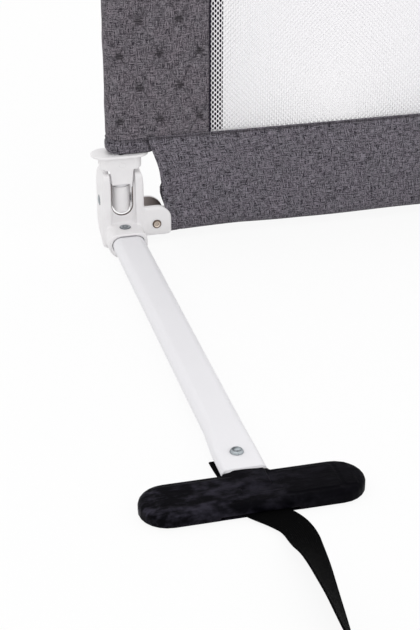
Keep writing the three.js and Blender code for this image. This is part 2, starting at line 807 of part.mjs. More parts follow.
function jointSleeve() {
  const body = solid(pipe(
    straightX(cornerLeg - jointSleeveLength / 2, cornerLeg + jointSleeveLength / 2, 0, topBarHeight),
    boreRadius - seatGap, jointSleeveWall));
  return geometryOf(cut(body, jointScrewHole()));
}

function jointScrew() {
  const faceZ = tubeRadius + seatGap;
  const profile = domeProfile(jointScrewRadius, jointScrewHeadRadius, jointScrewHeadHeight,
    boreRadius - jointSleeveWall - 2 * tubeWall, faceZ);
  return turned([[0, profile[0][1]], ...profile])
    .rotateX(Math.PI).translate(cornerLeg - jointScrewOffset, 0, topBarHeight);
}

// Release collar with its pin and spring

function collar() {
  const plan = roundedPlate(collarHalfWidth, collarHalfDepth, collarCornerRadius, coarseSteps);
  let body = solid(slabZ(plan, pivotHeight, collarBodyTop));
  body = cut(body, rodX(housingArcRadius + collarArcGap, -collarHalfWidth - cutOverrun,
    collarHalfWidth + cutOverrun, pivotBack, pivotHeight, arcSides));
  const flange = roundedPlate(flangeHalfLength, flangeHalfDepth, flangeHalfDepth, fineSteps);
  const tongueTop = tongueBottom + tongueOverlap;
  const tongue = [
    new THREE.Vector2(-tongueBottomHalf, tongueBottom),
    new THREE.Vector2(tongueBottomHalf, tongueBottom),
    new THREE.Vector2(tongueTopHalf, tongueTop),
    new THREE.Vector2(-tongueTopHalf, tongueTop),
  ];
  const tongueBack = -tubeRadius - seatGap;
  body = joined(body,
    slabZ(flange, collarTop - flangeThickness, collarTop, flangeBevel),
    slabY(tongue, -collarHalfDepth, tongueBack),
    block(tongueBottomHalf - latchTabWidth, tongueBottomHalf, -collarHalfDepth, tongueBack,
      tongueBottom - latchTabDrop, tongueBottom + latchTabDrop));
  body = cut(body,
    rodZ(tubeRadius + seatGap, 0, railTop, 0, 0, tubeSides),
    rodY(crossPinRadius + seatGap, -flangeHalfLength, flangeHalfLength, 0, crossPinHeight));
  return geometryOf(body);
}

function crossPin() {
  return rodY(crossPinRadius, seatGap - collarHalfDepth, collarHalfDepth - seatGap, 0, crossPinHeight);
}

function returnSpring() {
  const base = crossPinHeight + crossPinRadius + springWireRadius + seatGap;
  const climb = (springLength - 2 * springWireRadius) / springTurns;
  const section = circle(springWireRadius, springSides);
  const rings = [];
  for (let i = 0; i <= springTurns * springSteps; i += 1) {
    const turns = i / springSteps;
    const angle = 2 * Math.PI * turns;
    const outward = new THREE.Vector3(Math.cos(angle), Math.sin(angle), 0);
    const at = outward.clone().multiplyScalar(springRadius).setZ(base + climb * turns);
    const along = new THREE.Vector3(-Math.sin(angle), Math.cos(angle), climb / (2 * Math.PI * springRadius))
      .normalize();
    const up = new THREE.Vector3().crossVectors(along, outward);
    rings.push(ringAt(station(at, outward, up), section));
  }
  return sweptSolid(rings, section);
}

function springPlug() {
  const from = crossPinHeight + crossPinRadius + springLength + 2 * seatGap;
  return rodZ(boreRadius - seatGap, from, from + springPlugLength, 0, 0, tubeSides);
}

// Cloth cover

function coverOutline(left, right, bottom, top, radius) {
  return roundedBox(left, right, bottom, top, [0, radius, 0, 0], 2 * coarseSteps);
}

function sidePanel() {
  const past = sidePanelWidth + bendRadius;
  const outer = coverOutline(-sleeveEdge, past, 0, railTop, bendRadius + sleeveEdge);
  const innerEdge = sleeveEdge - clothThickness;
  const inner = coverOutline(-innerEdge, past * 2, -past, railTop - clothThickness, bendRadius + innerEdge);
  let body = solid(slabY(outer, -clothOuter, clothOuter, coverBevel));
  body = body.subtract(solid(slabY(inner, -clothInner, clothInner, coverBevel - clothThickness)));
  body = cut(body,
    block(sidePanelWidth, past * 2, -housingBack, housingBack, -cutOverrun, railTop + cutOverrun),
    block(-past, past, -housingBack, housingBack, -cutOverrun, coverBottom),
    block(-past, cuffInner + seatGap, -housingBack, housingBack, -cutOverrun, cuffTop + seatGap));
  return geometryOf(body);
}

// The sleeve round the upright, which the collar pushes up into folds
function cuff() {
  const half = (sleeveEdge + cuffInner) / 2;
  const outer = roundedPlate(half, clothOuter, coverBevel, coarseSteps);
  const inner = roundedPlate(half - clothThickness, clothInner, coverBevel - clothThickness, coarseSteps);
  const ring = solid(slabZ(outer, cuffBottom, cuffTop)).subtract(
    solid(slabZ(inner, cuffBottom - cutOverrun, cuffTop + cutOverrun)));
  return geometryOf(ring).translate((cuffInner - sleeveEdge) / 2, 0, 0);
}

// Section of the top panel, an arch over the top bar, in (y, z)
function topPanel() {
  const arch = (half, top, bevel) => roundedBox(-half, half, windowTop + seatGap, top,
    [bevel, bevel, 0, 0], coarseSteps);
  const length = axisX - clothLead;
  const outer = solid(slabX(arch(clothOuter, railTop, coverBevel), -length, length));
  const innerOutline = arch(clothInner, railTop - clothThickness, coverBevel - clothThickness);
  const inner = solid(slabX(innerOutline, -length - cutOverrun, length + cutOverrun))
    .add(solid(block(-length - cutOverrun, length + cutOverrun, -clothInner, clothInner,
      windowTop - cutOverrun, windowTop + cutOverrun)));
  return geometryOf(outer.subtract(inner));
}

// Diamond net: a frame of strands with openings in staggered columns and rows
function windowNet(faceY) {
  const half = axisX - clothLead;
  const bottom = coverBottom;
  const top = windowTop;
  const cellWidth = (2 * half - 2 * netBorder) / netColumns;
  const cellHeight = (top - bottom - 2 * netBorder) / netRows;
  const holes = [];
  for (let column = 0; column < netColumns; column += 1) {
    for (let row = 0; row < netRows; row += 1) {
      const x = -half + netBorder + (column + 0.5) * cellWidth;
      const z = bottom + netBorder + (row + 0.5) * cellHeight;
      const reachX = (cellWidth - netStrand) / 2;
      const reachZ = (cellHeight - netStrand) / 2;
      holes.push([
        new THREE.Vector2(x + reachX, z), new THREE.Vector2(x, z - reachZ),
        new THREE.Vector2(x - reachX, z), new THREE.Vector2(x, z + reachZ),
      ]);
    }
  }
  const outline = roundedBox(-half, half, bottom, top, [0, 0, 0, 0]);
  return slabY(outline, faceY - netThickness / 2, faceY + netThickness / 2, 0, holes);
}

// Skirt: a U of cloth from the window's bottom round the lower bar, its ends slanting inwards
function skirt() {
  const wrapInner = barRadius + seatGap;
  const wrapOuter = wrapInner + clothThickness;
  const section = [];
  section.push(new THREE.Vector2(-clothOuter, skirtTop));
  arc(section, barY, barHeight, wrapOuter, Math.PI, 2 * Math.PI, 2 * coarseSteps);
  section.push(new THREE.Vector2(clothOuter, skirtTop));
  section.push(new THREE.Vector2(clothInner, skirtTop));
  arc(section, barY, barHeight, wrapInner, 2 * Math.PI, Math.PI, 2 * coarseSteps);
  section.push(new THREE.Vector2(-clothInner, skirtTop));
  const steps = skirtWaveCount * coarseSteps;
  const rings = [];
  for (let i = 0; i <= steps; i += 1) {
    const share = i / steps;
    const swing = skirtWave * Math.sin(Math.PI * skirtWaveCount * share) ** 2;
    rings.push(section.map((p) => {
      const down = THREE.MathUtils.clamp((skirtTop - p.y) / (skirtTop - barHeight), 0, 1);
      const start = skirtStart + skirtSlant * down + skirtFlare * down ** skirtFlarePower;
      const half = axisX - start;
      const outward = Math.sin(Math.PI * down) ** 2 * swing * Math.sign(p.x);
      return new THREE.Vector3(-half + 2 * half * share, p.x + outward, p.y);
    }));
  }
  return sweptSolid(rings, section);
}

// Bars that run from corner to corner

function topBar() {
  const half = axisX - cornerLeg - seatGap;
  return pipe(straightX(-half, half, 0, topBarHeight), tubeRadius, tubeWall);
}

function lowerBar() {
  const half = axisX - barStart;
  const body = solid(pipe(straightX(-half, half, barY, barHeight), barRadius, barWall));
  return geometryOf(cut(body, ...[-1, 1].map((side) => rodY(eyeletRadius + seatGap,
    -housingFront, housingBack * 2, side * (axisX - eyeletPlace), barHeight))));
}

// Safety strap: [x, y, height of the middle, lean in degrees] along its free run

const strapTailRoute = [
  [-5.5, -399.5, 1.4, 0], [-4.9, -411, 1.5, 0], [-4.2, -423, 2.4, 0], [-3.8, -434, 2.6, 0],
  [-3.7, -444, 2.7, 0], [-3.7, -453, 2.7, 0],
];
const strapRunRoute = [
  [-3.7, -453.6, 2.7, 0], [-3.7, -457.5, 2.7, 0], [-1.7, -463, 2.7, 0], [2.7, -469, 2.7, 0],
  [7.8, -475, 2.7, 0], [12.2, -481, 2.7, 1], [15.8, -487.3, 2.6, 3], [17.9, -494.5, 2.8, 7],
  [18.6, -502.5, 3.3, 11], [18.2, -511, 4.2, 16], [17.6, -522, 5.8, 23], [17.1, -536, 8, 34],
  [16, -552, 9.3, 43], [14.6, -569, 10.3, 50], [13.1, -588, 11.1, 57], [11.2, -607, 11.8, 62.5],
  [9.2, -627, 12.4, 69], [7.4, -650, 12.9, 77], [6.3, -674, 13.3, 85], [6, -694, 13.6, 90],
  [6, -712.6, 13.6, 90],
];

function strapSection() {
  const w = strapWidth / 2;
  const t = strapThickness / 2;
  return [new THREE.Vector2(-w, -t), new THREE.Vector2(w, -t), new THREE.Vector2(w, t), new THREE.Vector2(-w, t)];
}

// A flat band along points with a lean about its own line. Lean 0 lies flat, 90 stands on edge.
function band(points, leans, section = strapSection()) {
  const rings = points.map((at, i) => {
    const before = points[Math.max(i - 1, 0)];
    const after = points[Math.min(i + 1, points.length - 1)];
    const along = after.clone().sub(before).setZ(0).normalize();
    const left = new THREE.Vector3(-along.y, along.x, 0);
    const up = new THREE.Vector3(0, 0, 1);
    const lean = THREE.MathUtils.degToRad(leans[i]);
    const across = left.clone().multiplyScalar(-Math.cos(lean)).addScaledVector(up, Math.sin(lean));
    const normal = new THREE.Vector3().crossVectors(along, across);
    return ringAt(station(at, across, normal), section);
  });
  return sweptSolid(rings, section);
}

function routeBand(route) {
  return band(route.map(([x, y, z]) => new THREE.Vector3(x, y, z)), route.map((p) => p[3]));
}

// The coil turns inwards on edge and ends in a curl towards its middle, where the anchor stands
function coilPoints() {
  const [cx, cy] = strapCoilCentre;
  const height = strapWidth / 2 + tieThickness + seatGap;
  const points = [];
  const steps = strapCoilTurns * coilSteps;
  for (let i = 0; i <= steps; i += 1) {
    const angle = Math.PI + 2 * Math.PI * i / coilSteps;
    const radius = strapCoilRadius - strapCoilPitch * i / coilSteps;
    points.push(new THREE.Vector3(cx + radius * Math.cos(angle), cy + radius * Math.sin(angle), height));
  }
  const inner = strapCoilRadius - strapCoilPitch * strapCoilTurns;
  const curlX = cx - inner + strapCurlRadius;
  for (let i = 1; i <= coilSteps / 2; i += 1) {
    const angle = Math.PI + 2 * Math.PI * i / coilSteps;
    points.push(new THREE.Vector3(
      curlX + strapCurlRadius * Math.cos(angle), cy + strapCurlRadius * Math.sin(angle), height));
  }
  return points;
}

function strapCoil() {
  const points = coilPoints();
  let least = Infinity;
  points.forEach((p, i) => points.forEach((q, j) => {
    if (j > i + coilSteps / 2) least = Math.min(least, p.distanceTo(q) - strapThickness);
  }));
  console.log(`least gap between the strap's turns: ${least.toFixed(2)} mm`);
  return band(points, points.map(() => 90));
}

function strapAnchor() {
  const [cx, cy] = strapCoilCentre;
  const endX = cx - strapCoilRadius + strapCoilPitch * strapCoilTurns + 2 * strapCurlRadius;
  const faceY = cy + seatGap;
  const round = anchorHeight / 2;
  const outline = roundedBox(-anchorLength / 2, anchorLength / 2, 0, anchorHeight,
    [round, round, round, round], coarseSteps);
  return slabY(outline, faceY, faceY + anchorThickness, anchorBevel, [], 1).translate(endX, 0, 0);
}

// The tie goes round the turns at the coil's far side
function strapTie() {
  const [cx, cy] = strapCoilCentre;
  const outerX = cx + strapCoilRadius - strapCoilPitch / 2 + strapThickness / 2 + seatGap;
  const innermost = strapCoilRadius - strapCoilPitch * (strapCoilTurns - 1 / 2);
  const innerX = cx + innermost - strapThickness - seatGap;
  const height = strapWidth + 2 * seatGap;
  const inner = roundedBox(innerX, outerX, tieThickness, tieThickness + height, [0, 0, 0, 0]);
  const outer = roundedBox(innerX - tieThickness, outerX + tieThickness, 0, 2 * tieThickness + height,
    [tieThickness, tieThickness, 0, 0], 2);
  const ring = solid(slabY(outer, -tieWidth / 2, tieWidth / 2))
    .subtract(solid(slabY(inner, -tieWidth, tieWidth)));
  return geometryOf(ring).translate(0, cy, 0);
}

// Mirroring a corner piece across x = 0 keeps its faces pointing out
function mirrored(geometry) {
  const flat = geometry.index ? geometry.toNonIndexed() : geometry.clone();
  flat.scale(-1, 1, 1);
  const position = flat.attributes.position;
  for (let i = 0; i < position.count; i += 3) {
    const b = new THREE.Vector3().fromBufferAttribute(position, i + 1);
    const c = new THREE.Vector3().fromBufferAttribute(position, i + 2);
    position.setXYZ(i + 1, c.x, c.y, c.z);
    position.setXYZ(i + 2, b.x, b.y, b.z);
  }
  flat.deleteAttribute('normal');
  flat.computeVertexNormals();
  return flat;
}

const cornerPieces = [
  ['hinge_housing', hingeHousing, 'whitePlastic'],
  ['pivot_pin', pivotPin, 'zinc'],
  ['knuckle', knuckle, 'whitePlastic'],
  ['upright_tube', uprightTube, 'whiteEnamel'],
  ['collar', collar, 'whitePlastic'],
  ['collar_pin', crossPin, 'whitePlastic'],
  ['collar_spring', returnSpring, 'zinc'],
  ['spring_plug', springPlug, 'blackPlastic'],
  ['joint_sleeve', jointSleeve, 'zinc'],
  ['joint_screw', jointScrew, 'zinc'],
  ['socket_rivet', socketRivet, 'zinc'],
  ['clevis_eyelet', eyelet, 'brass'],
  ['arm', armTube, 'whiteEnamel'],
  ['foot_rivet', footRivet, 'zinc'],
  ['foot', footBody, 'blackPlastic'],
  ['foot_pad_inner', footPad, 'rubber'],
  ['foot_pad_outer', () => mirrored(footPad()), 'rubber'],
  ['side_panel', sidePanel, 'cloth'],
  ['cuff', cuff, 'cloth'],
  ['strap_tail', () => routeBand(strapTailRoute), 'webbing'],
  ['strap_run', () => routeBand(strapRunRoute), 'webbing'],
  ['strap_coil', strapCoil, 'webbing'],
  ['strap_tie', strapTie, 'webbing'],
  ['strap_anchor', strapAnchor, 'blackPlastic'],
];

const middlePieces = [
  ['top_bar', topBar, 'whiteEnamel'],
  ['lower_bar', lowerBar, 'whiteEnamel'],
  ['top_panel', topPanel, 'cloth'],
  ['skirt', skirt, 'cloth'],
  ['front_net', () => windowNet(netThickness / 2 - clothOuter), 'net'],
  ['back_net', () => windowNet(clothOuter - netThickness / 2), 'net'],
];

function named(name, geometry, finish) {
  const mesh = new THREE.Mesh(geometry, new THREE.MeshStandardMaterial(colours[finish]));
  mesh.name = name;
  return mesh;
}

const rail = new THREE.Group();
const leftCorner = new THREE.Group();
const rightCorner = new THREE.Group();
const middle = new THREE.Group();
leftCorner.position.set(-axisX, pivotY, 0);
rightCorner.position.set(axisX, pivotY, 0);
middle.position.set(0, pivotY, 0);
for (const [name, make, finish] of cornerPieces) {
  const geometry = make();
  leftCorner.add(named(`left_${name}`, geometry, finish));
  rightCorner.add(named(`right_${name}`, mirrored(geometry), finish));
}
for (const [name, make, finish] of middlePieces) middle.add(named(name, make(), finish));
rail.add(leftCorner, rightCorner, middle);

export default rail;
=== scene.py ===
import bisect
import json
import math

import bmesh
import bpy
from mathutils import Matrix, Vector, noise

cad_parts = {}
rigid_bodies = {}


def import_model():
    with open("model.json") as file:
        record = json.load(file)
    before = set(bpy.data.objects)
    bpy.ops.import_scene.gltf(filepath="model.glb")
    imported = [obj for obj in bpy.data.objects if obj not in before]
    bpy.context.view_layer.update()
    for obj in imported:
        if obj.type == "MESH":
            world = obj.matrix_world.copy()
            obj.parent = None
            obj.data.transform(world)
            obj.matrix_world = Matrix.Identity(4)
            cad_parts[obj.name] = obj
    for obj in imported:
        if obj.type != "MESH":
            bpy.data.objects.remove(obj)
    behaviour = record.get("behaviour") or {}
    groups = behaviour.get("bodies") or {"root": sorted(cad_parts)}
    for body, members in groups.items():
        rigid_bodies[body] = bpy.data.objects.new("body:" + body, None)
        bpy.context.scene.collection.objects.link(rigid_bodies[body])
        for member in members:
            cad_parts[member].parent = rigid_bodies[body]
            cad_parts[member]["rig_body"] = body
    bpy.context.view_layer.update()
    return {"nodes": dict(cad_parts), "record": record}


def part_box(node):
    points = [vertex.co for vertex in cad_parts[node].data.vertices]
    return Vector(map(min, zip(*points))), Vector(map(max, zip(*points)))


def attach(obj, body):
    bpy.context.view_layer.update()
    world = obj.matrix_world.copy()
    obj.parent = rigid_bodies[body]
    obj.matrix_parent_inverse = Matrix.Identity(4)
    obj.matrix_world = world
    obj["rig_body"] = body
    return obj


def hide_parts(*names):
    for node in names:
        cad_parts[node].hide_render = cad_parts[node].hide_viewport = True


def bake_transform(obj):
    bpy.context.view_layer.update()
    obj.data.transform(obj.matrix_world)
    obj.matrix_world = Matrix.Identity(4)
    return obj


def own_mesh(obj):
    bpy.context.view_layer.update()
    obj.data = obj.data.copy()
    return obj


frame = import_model()


MM = 0.001
AXIS_X = 738 * MM
AXIS_Y = 227 * MM
SPAN = AXIS_X / MM * 2
SIDES = {"left": -1, "right": 1}


def at_corner(side, x, y, z):
    """A place in millimetres from the upright's axis, as a point of the row frame."""
    return Vector((side * (AXIS_X - x * MM), AXIS_Y + y * MM, z * MM))


def linked(name, data):
    """A new object of the scene."""
    made = bpy.data.objects.new(name, data)
    bpy.context.scene.collection.objects.link(made)
    return made


# Camera at the photograph's place

PICTURE_HEIGHT = 630
FOCAL_PIXELS = 1469.4
SENSOR = 36.0
CAMERA_PLACE = Vector((-0.9768, -1.0290, 0.5672))
CAMERA_TURN = 0.2535
CAMERA_DIP = 0.4690
CAMERA_ROLL = -0.0011


def make_camera():
    """The camera, turned to the right of +Y, dipped and rolled as fitted to the photograph."""
    data = bpy.data.cameras.new("photo_camera")
    data.sensor_fit = "AUTO"
    data.sensor_width = SENSOR
    data.lens = FOCAL_PIXELS / PICTURE_HEIGHT * SENSOR
    data.clip_start = 0.01
    camera = linked("photo_camera", data)
    camera.matrix_world = (
        Matrix.Translation(CAMERA_PLACE) @ Matrix.Rotation(-CAMERA_TURN, 4, "Z")
        @ Matrix.Rotation(math.pi / 2 - CAMERA_DIP, 4, "X") @ Matrix.Rotation(-CAMERA_ROLL, 4, "Z"))
    bpy.context.scene.camera = camera


make_camera()


# Materials

def operator(operation, swapped=False):
    """Plain arithmetic on numbers, as a Math node."""
    def applied(self, *others):
        values = (*others, self) if swapped else (self, *others)
        return self.nodes.number("ShaderNodeMath", {"operation": operation},
                                 dict(enumerate(values)))
    return applied


class Number:
    """A number at a socket, which takes plain arithmetic."""

    def __init__(self, nodes, socket):
        self.nodes = nodes
        self.socket = socket

    __add__ = __radd__ = operator("ADD")
    __mul__ = __rmul__ = operator("MULTIPLY")
    __sub__, __rsub__ = operator("SUBTRACT"), operator("SUBTRACT", True)
    __truediv__, __rtruediv__ = operator("DIVIDE"), operator("DIVIDE", True)
    __pow__ = operator("POWER")
    __mod__ = operator("FLOORED_MODULO")
    least = operator("MINIMUM")
    most = operator("MAXIMUM")
    wave = operator("SINE")
    size = operator("ABSOLUTE")

    def between(self, low, high):
        """0 below low, 1 above high, and smooth in between."""
        return self.nodes.number("ShaderNodeMapRange", {"interpolation_type": "SMOOTHSTEP"},
                                 {"Value": self, "From Min": low, "From Max": high})


class Nodes:
    """The nodes of a material or of the surroundings."""

    def __init__(self, tree):
        self.tree = tree

    def feed(self, socket, value):
        if isinstance(value, Number):
            value = value.socket
        if isinstance(value, bpy.types.NodeSocket):
            self.tree.links.new(value, socket)
        else:
            socket.default_value = value

    def node(self, kind, settings=None, sockets=None):
        made = self.tree.nodes.new(kind)
        for key, value in (settings or {}).items():
            setattr(made, key, value)
        for key, value in (sockets or {}).items():
            self.feed(made.inputs[key], value)
        return made

    def number(self, kind, settings=None, sockets=None, output=0):
        return Number(self, self.node(kind, settings, sockets).outputs[output])

    def clear_rays(self):
        """1 for the rays that show the surroundings as they are."""
        paths = self.node("ShaderNodeLightPath").outputs
        camera, glossy, through = (Number(self, paths[f"Is {kind} Ray"])
                                   for kind in ("Camera", "Glossy", "Transmission"))
        return camera.most(glossy).most(through)


class Finish(Nodes):
    """A material made of one principled shader and the nodes that feed it."""

    def __init__(self, name, colour, roughness, metallic=0.0, **constants):
        self.material = bpy.data.materials.new(name)
        self.material.use_nodes = True
        super().__init__(self.material.node_tree)
        self.shader = self.tree.nodes["Principled BSDF"]
        self.set("Base Color", (*colour, 1))
        self.set("Roughness", roughness)
        self.set("Metallic", metallic)
        for constant, value in constants.items():
            self.set(constant.replace("_", " "), value)

    def set(self, name, value):
        self.feed(self.shader.inputs[name], value)

    def coordinates(self, source):
        return self.node("ShaderNodeTexCoord").outputs[source]

    def axes(self, source):
        """The first two coordinates of a source, as numbers."""
        parts = self.node("ShaderNodeSeparateXYZ", None, {"Vector": self.coordinates(source)})
        return Number(self, parts.outputs[0]), Number(self, parts.outputs[1])

    def noise(self, source, scale, detail=2.0, roughness=0.5, place=(0, 0, 0)):
        """Cloudy noise of so many waves per metre, the same or not along each axis."""
        scale = scale if isinstance(scale, tuple) else (scale, scale, scale)
        spread = self.node("ShaderNodeMapping", None, {
            "Vector": self.coordinates(source), "Scale": scale, "Location": place}).outputs[0]
        return self.number("ShaderNodeTexNoise", None, {
            "Vector": spread, "Scale": 1.0, "Detail": detail, "Roughness": roughness})

    def attribute(self, name):
        return self.number("ShaderNodeAttribute", {"attribute_name": name}, None, 2)

    def mixed(self, factor, first, second):
        made = self.node("ShaderNodeMix", {"data_type": "RGBA"})
        self.feed(made.inputs[0], factor)
        for socket, value in ((made.inputs[6], first), (made.inputs[7], second)):
            self.feed(socket, (*value, 1) if isinstance(value, tuple) else value)
        return made.outputs[2]

    def colour(self, factor, first, second):
        self.set("Base Color", self.mixed(factor, first, second))

    def bump(self, height, distance, strength):
        """Relief that rises by so many metres for a height of 1."""
        self.set("Normal", self.node("ShaderNodeBump", None, {
            "Height": height, "Distance": distance, "Strength": strength}).outputs[0])


def moulded_white():
    """Satin moulded plastic with a faint orange-peel and slight handling marks."""
    finish = Finish("moulded_white", (0.79, 0.78, 0.79), 0.45, Specular_IOR_Level=0.3,
                    Coat_Weight=0.05, Coat_Roughness=0.3)
    cloud = finish.noise("Object", 60, 3)
    grain = finish.noise("Object", 2600, 1)
    finish.colour(cloud.between(0.3, 0.75), (0.805, 0.790, 0.798), (0.840, 0.826, 0.834))
    finish.set("Roughness", 0.38 + cloud * 0.16)
    finish.bump(grain * 0.5 + cloud * 0.8, 0.00006, 0.6)
    return finish.material


def white_enamel():
    """Powder coat on steel tube: smooth, with a fine ripple."""
    finish = Finish("white_enamel", (0.80, 0.795, 0.82), 0.45, Specular_IOR_Level=0.3,
                    Coat_Weight=0.06, Coat_Roughness=0.3)
    ripple = finish.noise("Object", 900)
    cloud = finish.noise("Object", 22)
    finish.colour(cloud, (0.790, 0.783, 0.806), (0.815, 0.808, 0.832))
    finish.set("Roughness", 0.40 + ripple * 0.16)
    finish.bump(ripple, 0.00004, 0.5)
    return finish.material


# Distances from the rail's middle between which the feet turn from matt to smeared, with a painted
# sheen that lightens their colour, in metres
FOOT_MATT = 0.67
FOOT_SMEARED_AND_PAINTED_SHEEN = 0.83


def moulded_black():
    """Black plastic with a fine spark texture, smeared gloss, a bluish tone, and a painted sheen:
    lighter blotches, strongest towards the feet's outer ends.
    """
    finish = Finish("moulded_black", (0.010, 0.0095, 0.0125), 0.5, Specular_IOR_Level=0.03)
    spark = finish.noise("Object", 1900)
    smear = finish.noise("Object", (30, 95, 60), 4, 0.62)
    blotch = finish.noise("Object", (95, 140, 90), 3, 0.6, (2.1, 0.4, 0))
    outer = finish.axes("Object")[0].size().between(FOOT_MATT, FOOT_SMEARED_AND_PAINTED_SHEEN)
    smear_and_painted_sheen = (smear * 0.6 + blotch * 0.4).between(0.44, 0.66) * (0.1 + outer * 1.15)
    # Painted sheen: the blotches lighten the colour, more towards the feet's outer ends
    finish.colour(smear_and_painted_sheen, (0.0012, 0.0011, 0.0022), (0.0300, 0.0278, 0.0395))
    finish.set("Roughness", 0.52 - smear_and_painted_sheen * 0.2)
    finish.bump(spark * 0.5 + smear * 3.0 + blotch * 2.0, 0.0002, 0.8)
    return finish.material


def pad_rubber():
    """Dull black rubber with fine ribs across it."""
    finish = Finish("pad_rubber", (0.02, 0.02, 0.021), 0.8)
    grain = finish.noise("Object", 1500)
    ribs = (finish.axes("Object")[0] * 1600).wave()
    finish.colour(grain, (0.014, 0.014, 0.015), (0.028, 0.028, 0.029))
    finish.bump(ribs * 0.8 + grain * 0.3, 0.0002, 0.7)
    return finish.material


def bare_metal(name, plain, frequency, dull, bright, groove_shade, depth, polish, wear):
    """Turned metal, with painted shade in the grooves of a formed head."""
    finish = Finish(name, plain, 0.3, 1.0)
    grain = finish.noise("Object", frequency, 3)
    # Painted shade: the vertex darkness of a head mixes its colour towards the groove colour
    finish.colour(finish.attribute("painted_shade") * depth, finish.mixed(grain, dull, bright), groove_shade)
    finish.set("Roughness", polish + grain * wear)
    finish.bump(grain, 0.00005, 0.5)
    return finish.material


def woven(finish, light, dark):
    """Colour and relief of linen-look melange: uneven threads, over and under each other."""
    warp = finish.noise("UV", (1050, 120, 1), 3, 0.62)
    weft = finish.noise("UV", (120, 1050, 1), 3, 0.62, (3.1, 7.7, 0))
    u, v = finish.axes("UV")
    ends = (u * THREADS).wave() * (v * THREADS).wave()
    patch = finish.noise("UV", 260, 2, 0.6, (5.9, 1.7, 0))
    over = (ends * 0.45 + (patch - 0.5) * 5.0 + 0.5).between(0.1, 0.9)
    slub = finish.noise("UV", 900, 2, 0.7, (1.3, 2.9, 0))
    fleck = finish.noise("UV", (560, 680, 1), 1, 0.5, (8.3, 4.1, 0)).between(0.67, 0.75)
    drift = finish.noise("UV", (70, 52, 1), 3, 0.6, (0.7, 9.2, 0)).between(0.35, 0.65)
    thread = warp * over + weft * (1 - over)
    tone = (thread * 0.66 + slub * 0.34).between(0.405, 0.61)
    colour = finish.mixed(fleck * 0.5, finish.mixed(tone, dark, light), FLECK_COLOUR)
    green = finish.mixed(tone, tuple(value * 1.25 for value in dark), GREEN_LIGHT)
    finish.set("Roughness", 0.86 + slub * 0.12)
    return finish.mixed(drift * 0.28, colour, green), thread * 1.2 + ends * 0.25 + slub * 0.4


CLOTH_LIGHT = (0.258, 0.228, 0.257)
CLOTH_DARK = (0.021, 0.0175, 0.024)
PLAIN_LIGHT = (0.272, 0.246, 0.287)
PLAIN_DARK = (0.011, 0.009, 0.014)
FLECK_COLOUR = (0.46, 0.44, 0.47)
GREEN_LIGHT = (0.215, 0.222, 0.236)
# Colour of the painted shade in the cloth's creases, seams, hems and folds
PAINTED_SHADE_COLOUR = (0.020, 0.017, 0.021)
# Threads of the weave, as radians per metre
THREADS = 5700
CLOTH_RELIEF = 0.0004
CLOTH_SHEEN = {"Specular_IOR_Level": 0.2, "Sheen_Weight": 0.08, "Sheen_Roughness": 0.5}

# Quilting of the cover, in millimetres from the upright's axis and from the floor
TUFT_ACROSS = 37.0
ROW_PITCH = 30.5
TUFT_X = -0.3
TUFT_Z = 182.8
# Folds at a tuft: place beside its middle, and half length
TUFT_FOLDS = ((0.3, 5.0), (2.2, 3.8))
# How far the hand-led seams sway from their lines
SEAM_SWAY = 3.2


def ogee(down):
    """Share of a tuft's spacing that a seam has run aside, at a share of the way down a row."""
    return 0.5 * (0.35 * down + 0.65 * down ** 0.72)


def plain_cloth():
    """Melange cloth, with painted shade where the mesh marks creases, hems and seams."""
    finish = Finish("melange_cloth", PLAIN_LIGHT, 0.92, **CLOTH_SHEEN)
    colour, relief = woven(finish, PLAIN_LIGHT, PLAIN_DARK)
    # Painted shade from the mesh's vertex darkness
    finish.colour(finish.attribute("painted_shade") * 0.8, colour, PAINTED_SHADE_COLOUR)
    finish.bump(relief, CLOTH_RELIEF, 0.9)
    return finish.material


def quilted_cloth():
    """Melange cloth with the stitched diamonds: thin ogee lines, and short folds at each tuft, each
    as relief and as painted shade.
    """
    finish = Finish("quilted_cloth", CLOTH_LIGHT, 0.92, **CLOTH_SHEEN)
    colour, relief = woven(finish, CLOTH_LIGHT, CLOTH_DARK)
    u, v = finish.axes("UV")
    sway = finish.noise("UV", 110, 3, 0.6, (6.1, 3.3, 0)) - 0.5
    shake = finish.noise("UV", 150, 2, 0.6, (2.7, 8.8, 0)) - 0.5
    broken = finish.noise("UV", 130, 3, 0.6, (4.4, 0.9, 0)).between(0.36, 0.6)
    across = (u / MM + sway * SEAM_SWAY - TUFT_X) / TUFT_ACROSS
    rows = (v / MM + shake * SEAM_SWAY - TUFT_Z) / ROW_PITCH
    part = rows % 1.0
    odd = rows % 2.0 - part
    down = 1 - part
    spread = ogee(down)

    def off_column(shift):
        return ((across - shift + 0.5) % 1.0 - 0.5).size() * TUFT_ACROSS

    upper = 0.5 * (1 - odd)
    line = off_column(upper + spread).least(off_column(upper - spread))
    folds = []
    near = []
    for shift, away in ((0.5 * odd, part), (upper, down)):
        beside = off_column(shift)
        along = away * ROW_PITCH
        near.append(1 - (beside * 0.55 + along * 0.9).between(2.0, 13.0))
        for middle, reach in TUFT_FOLDS:
            narrow = 1 - (along - middle).size().between(0.2, 0.95)
            folds.append(narrow * (1 - (beside + along * 0.4).between(reach * 0.6, reach)))
    close = near[0].most(near[1])
    fold = folds[0]
    for other in folds[1:]:
        fold = fold.most(other)
    # Painted shade along the seam lines, stronger near the tufts, and in the folds at each tuft
    seam = (1 - line.between(0.3, 1.2)) * (0.4 + 0.12 * close) * (0.3 + 0.7 * broken)
    colour_with_painted_shade = finish.mixed(finish.attribute("painted_shade") * 0.7, colour, PAINTED_SHADE_COLOUR)
    finish.colour((fold * 0.8).most(seam), colour_with_painted_shade, PAINTED_SHADE_COLOUR)
    finish.bump(relief - fold * 2.0 - seam * 1.6, CLOTH_RELIEF, 0.9)
    return finish.material


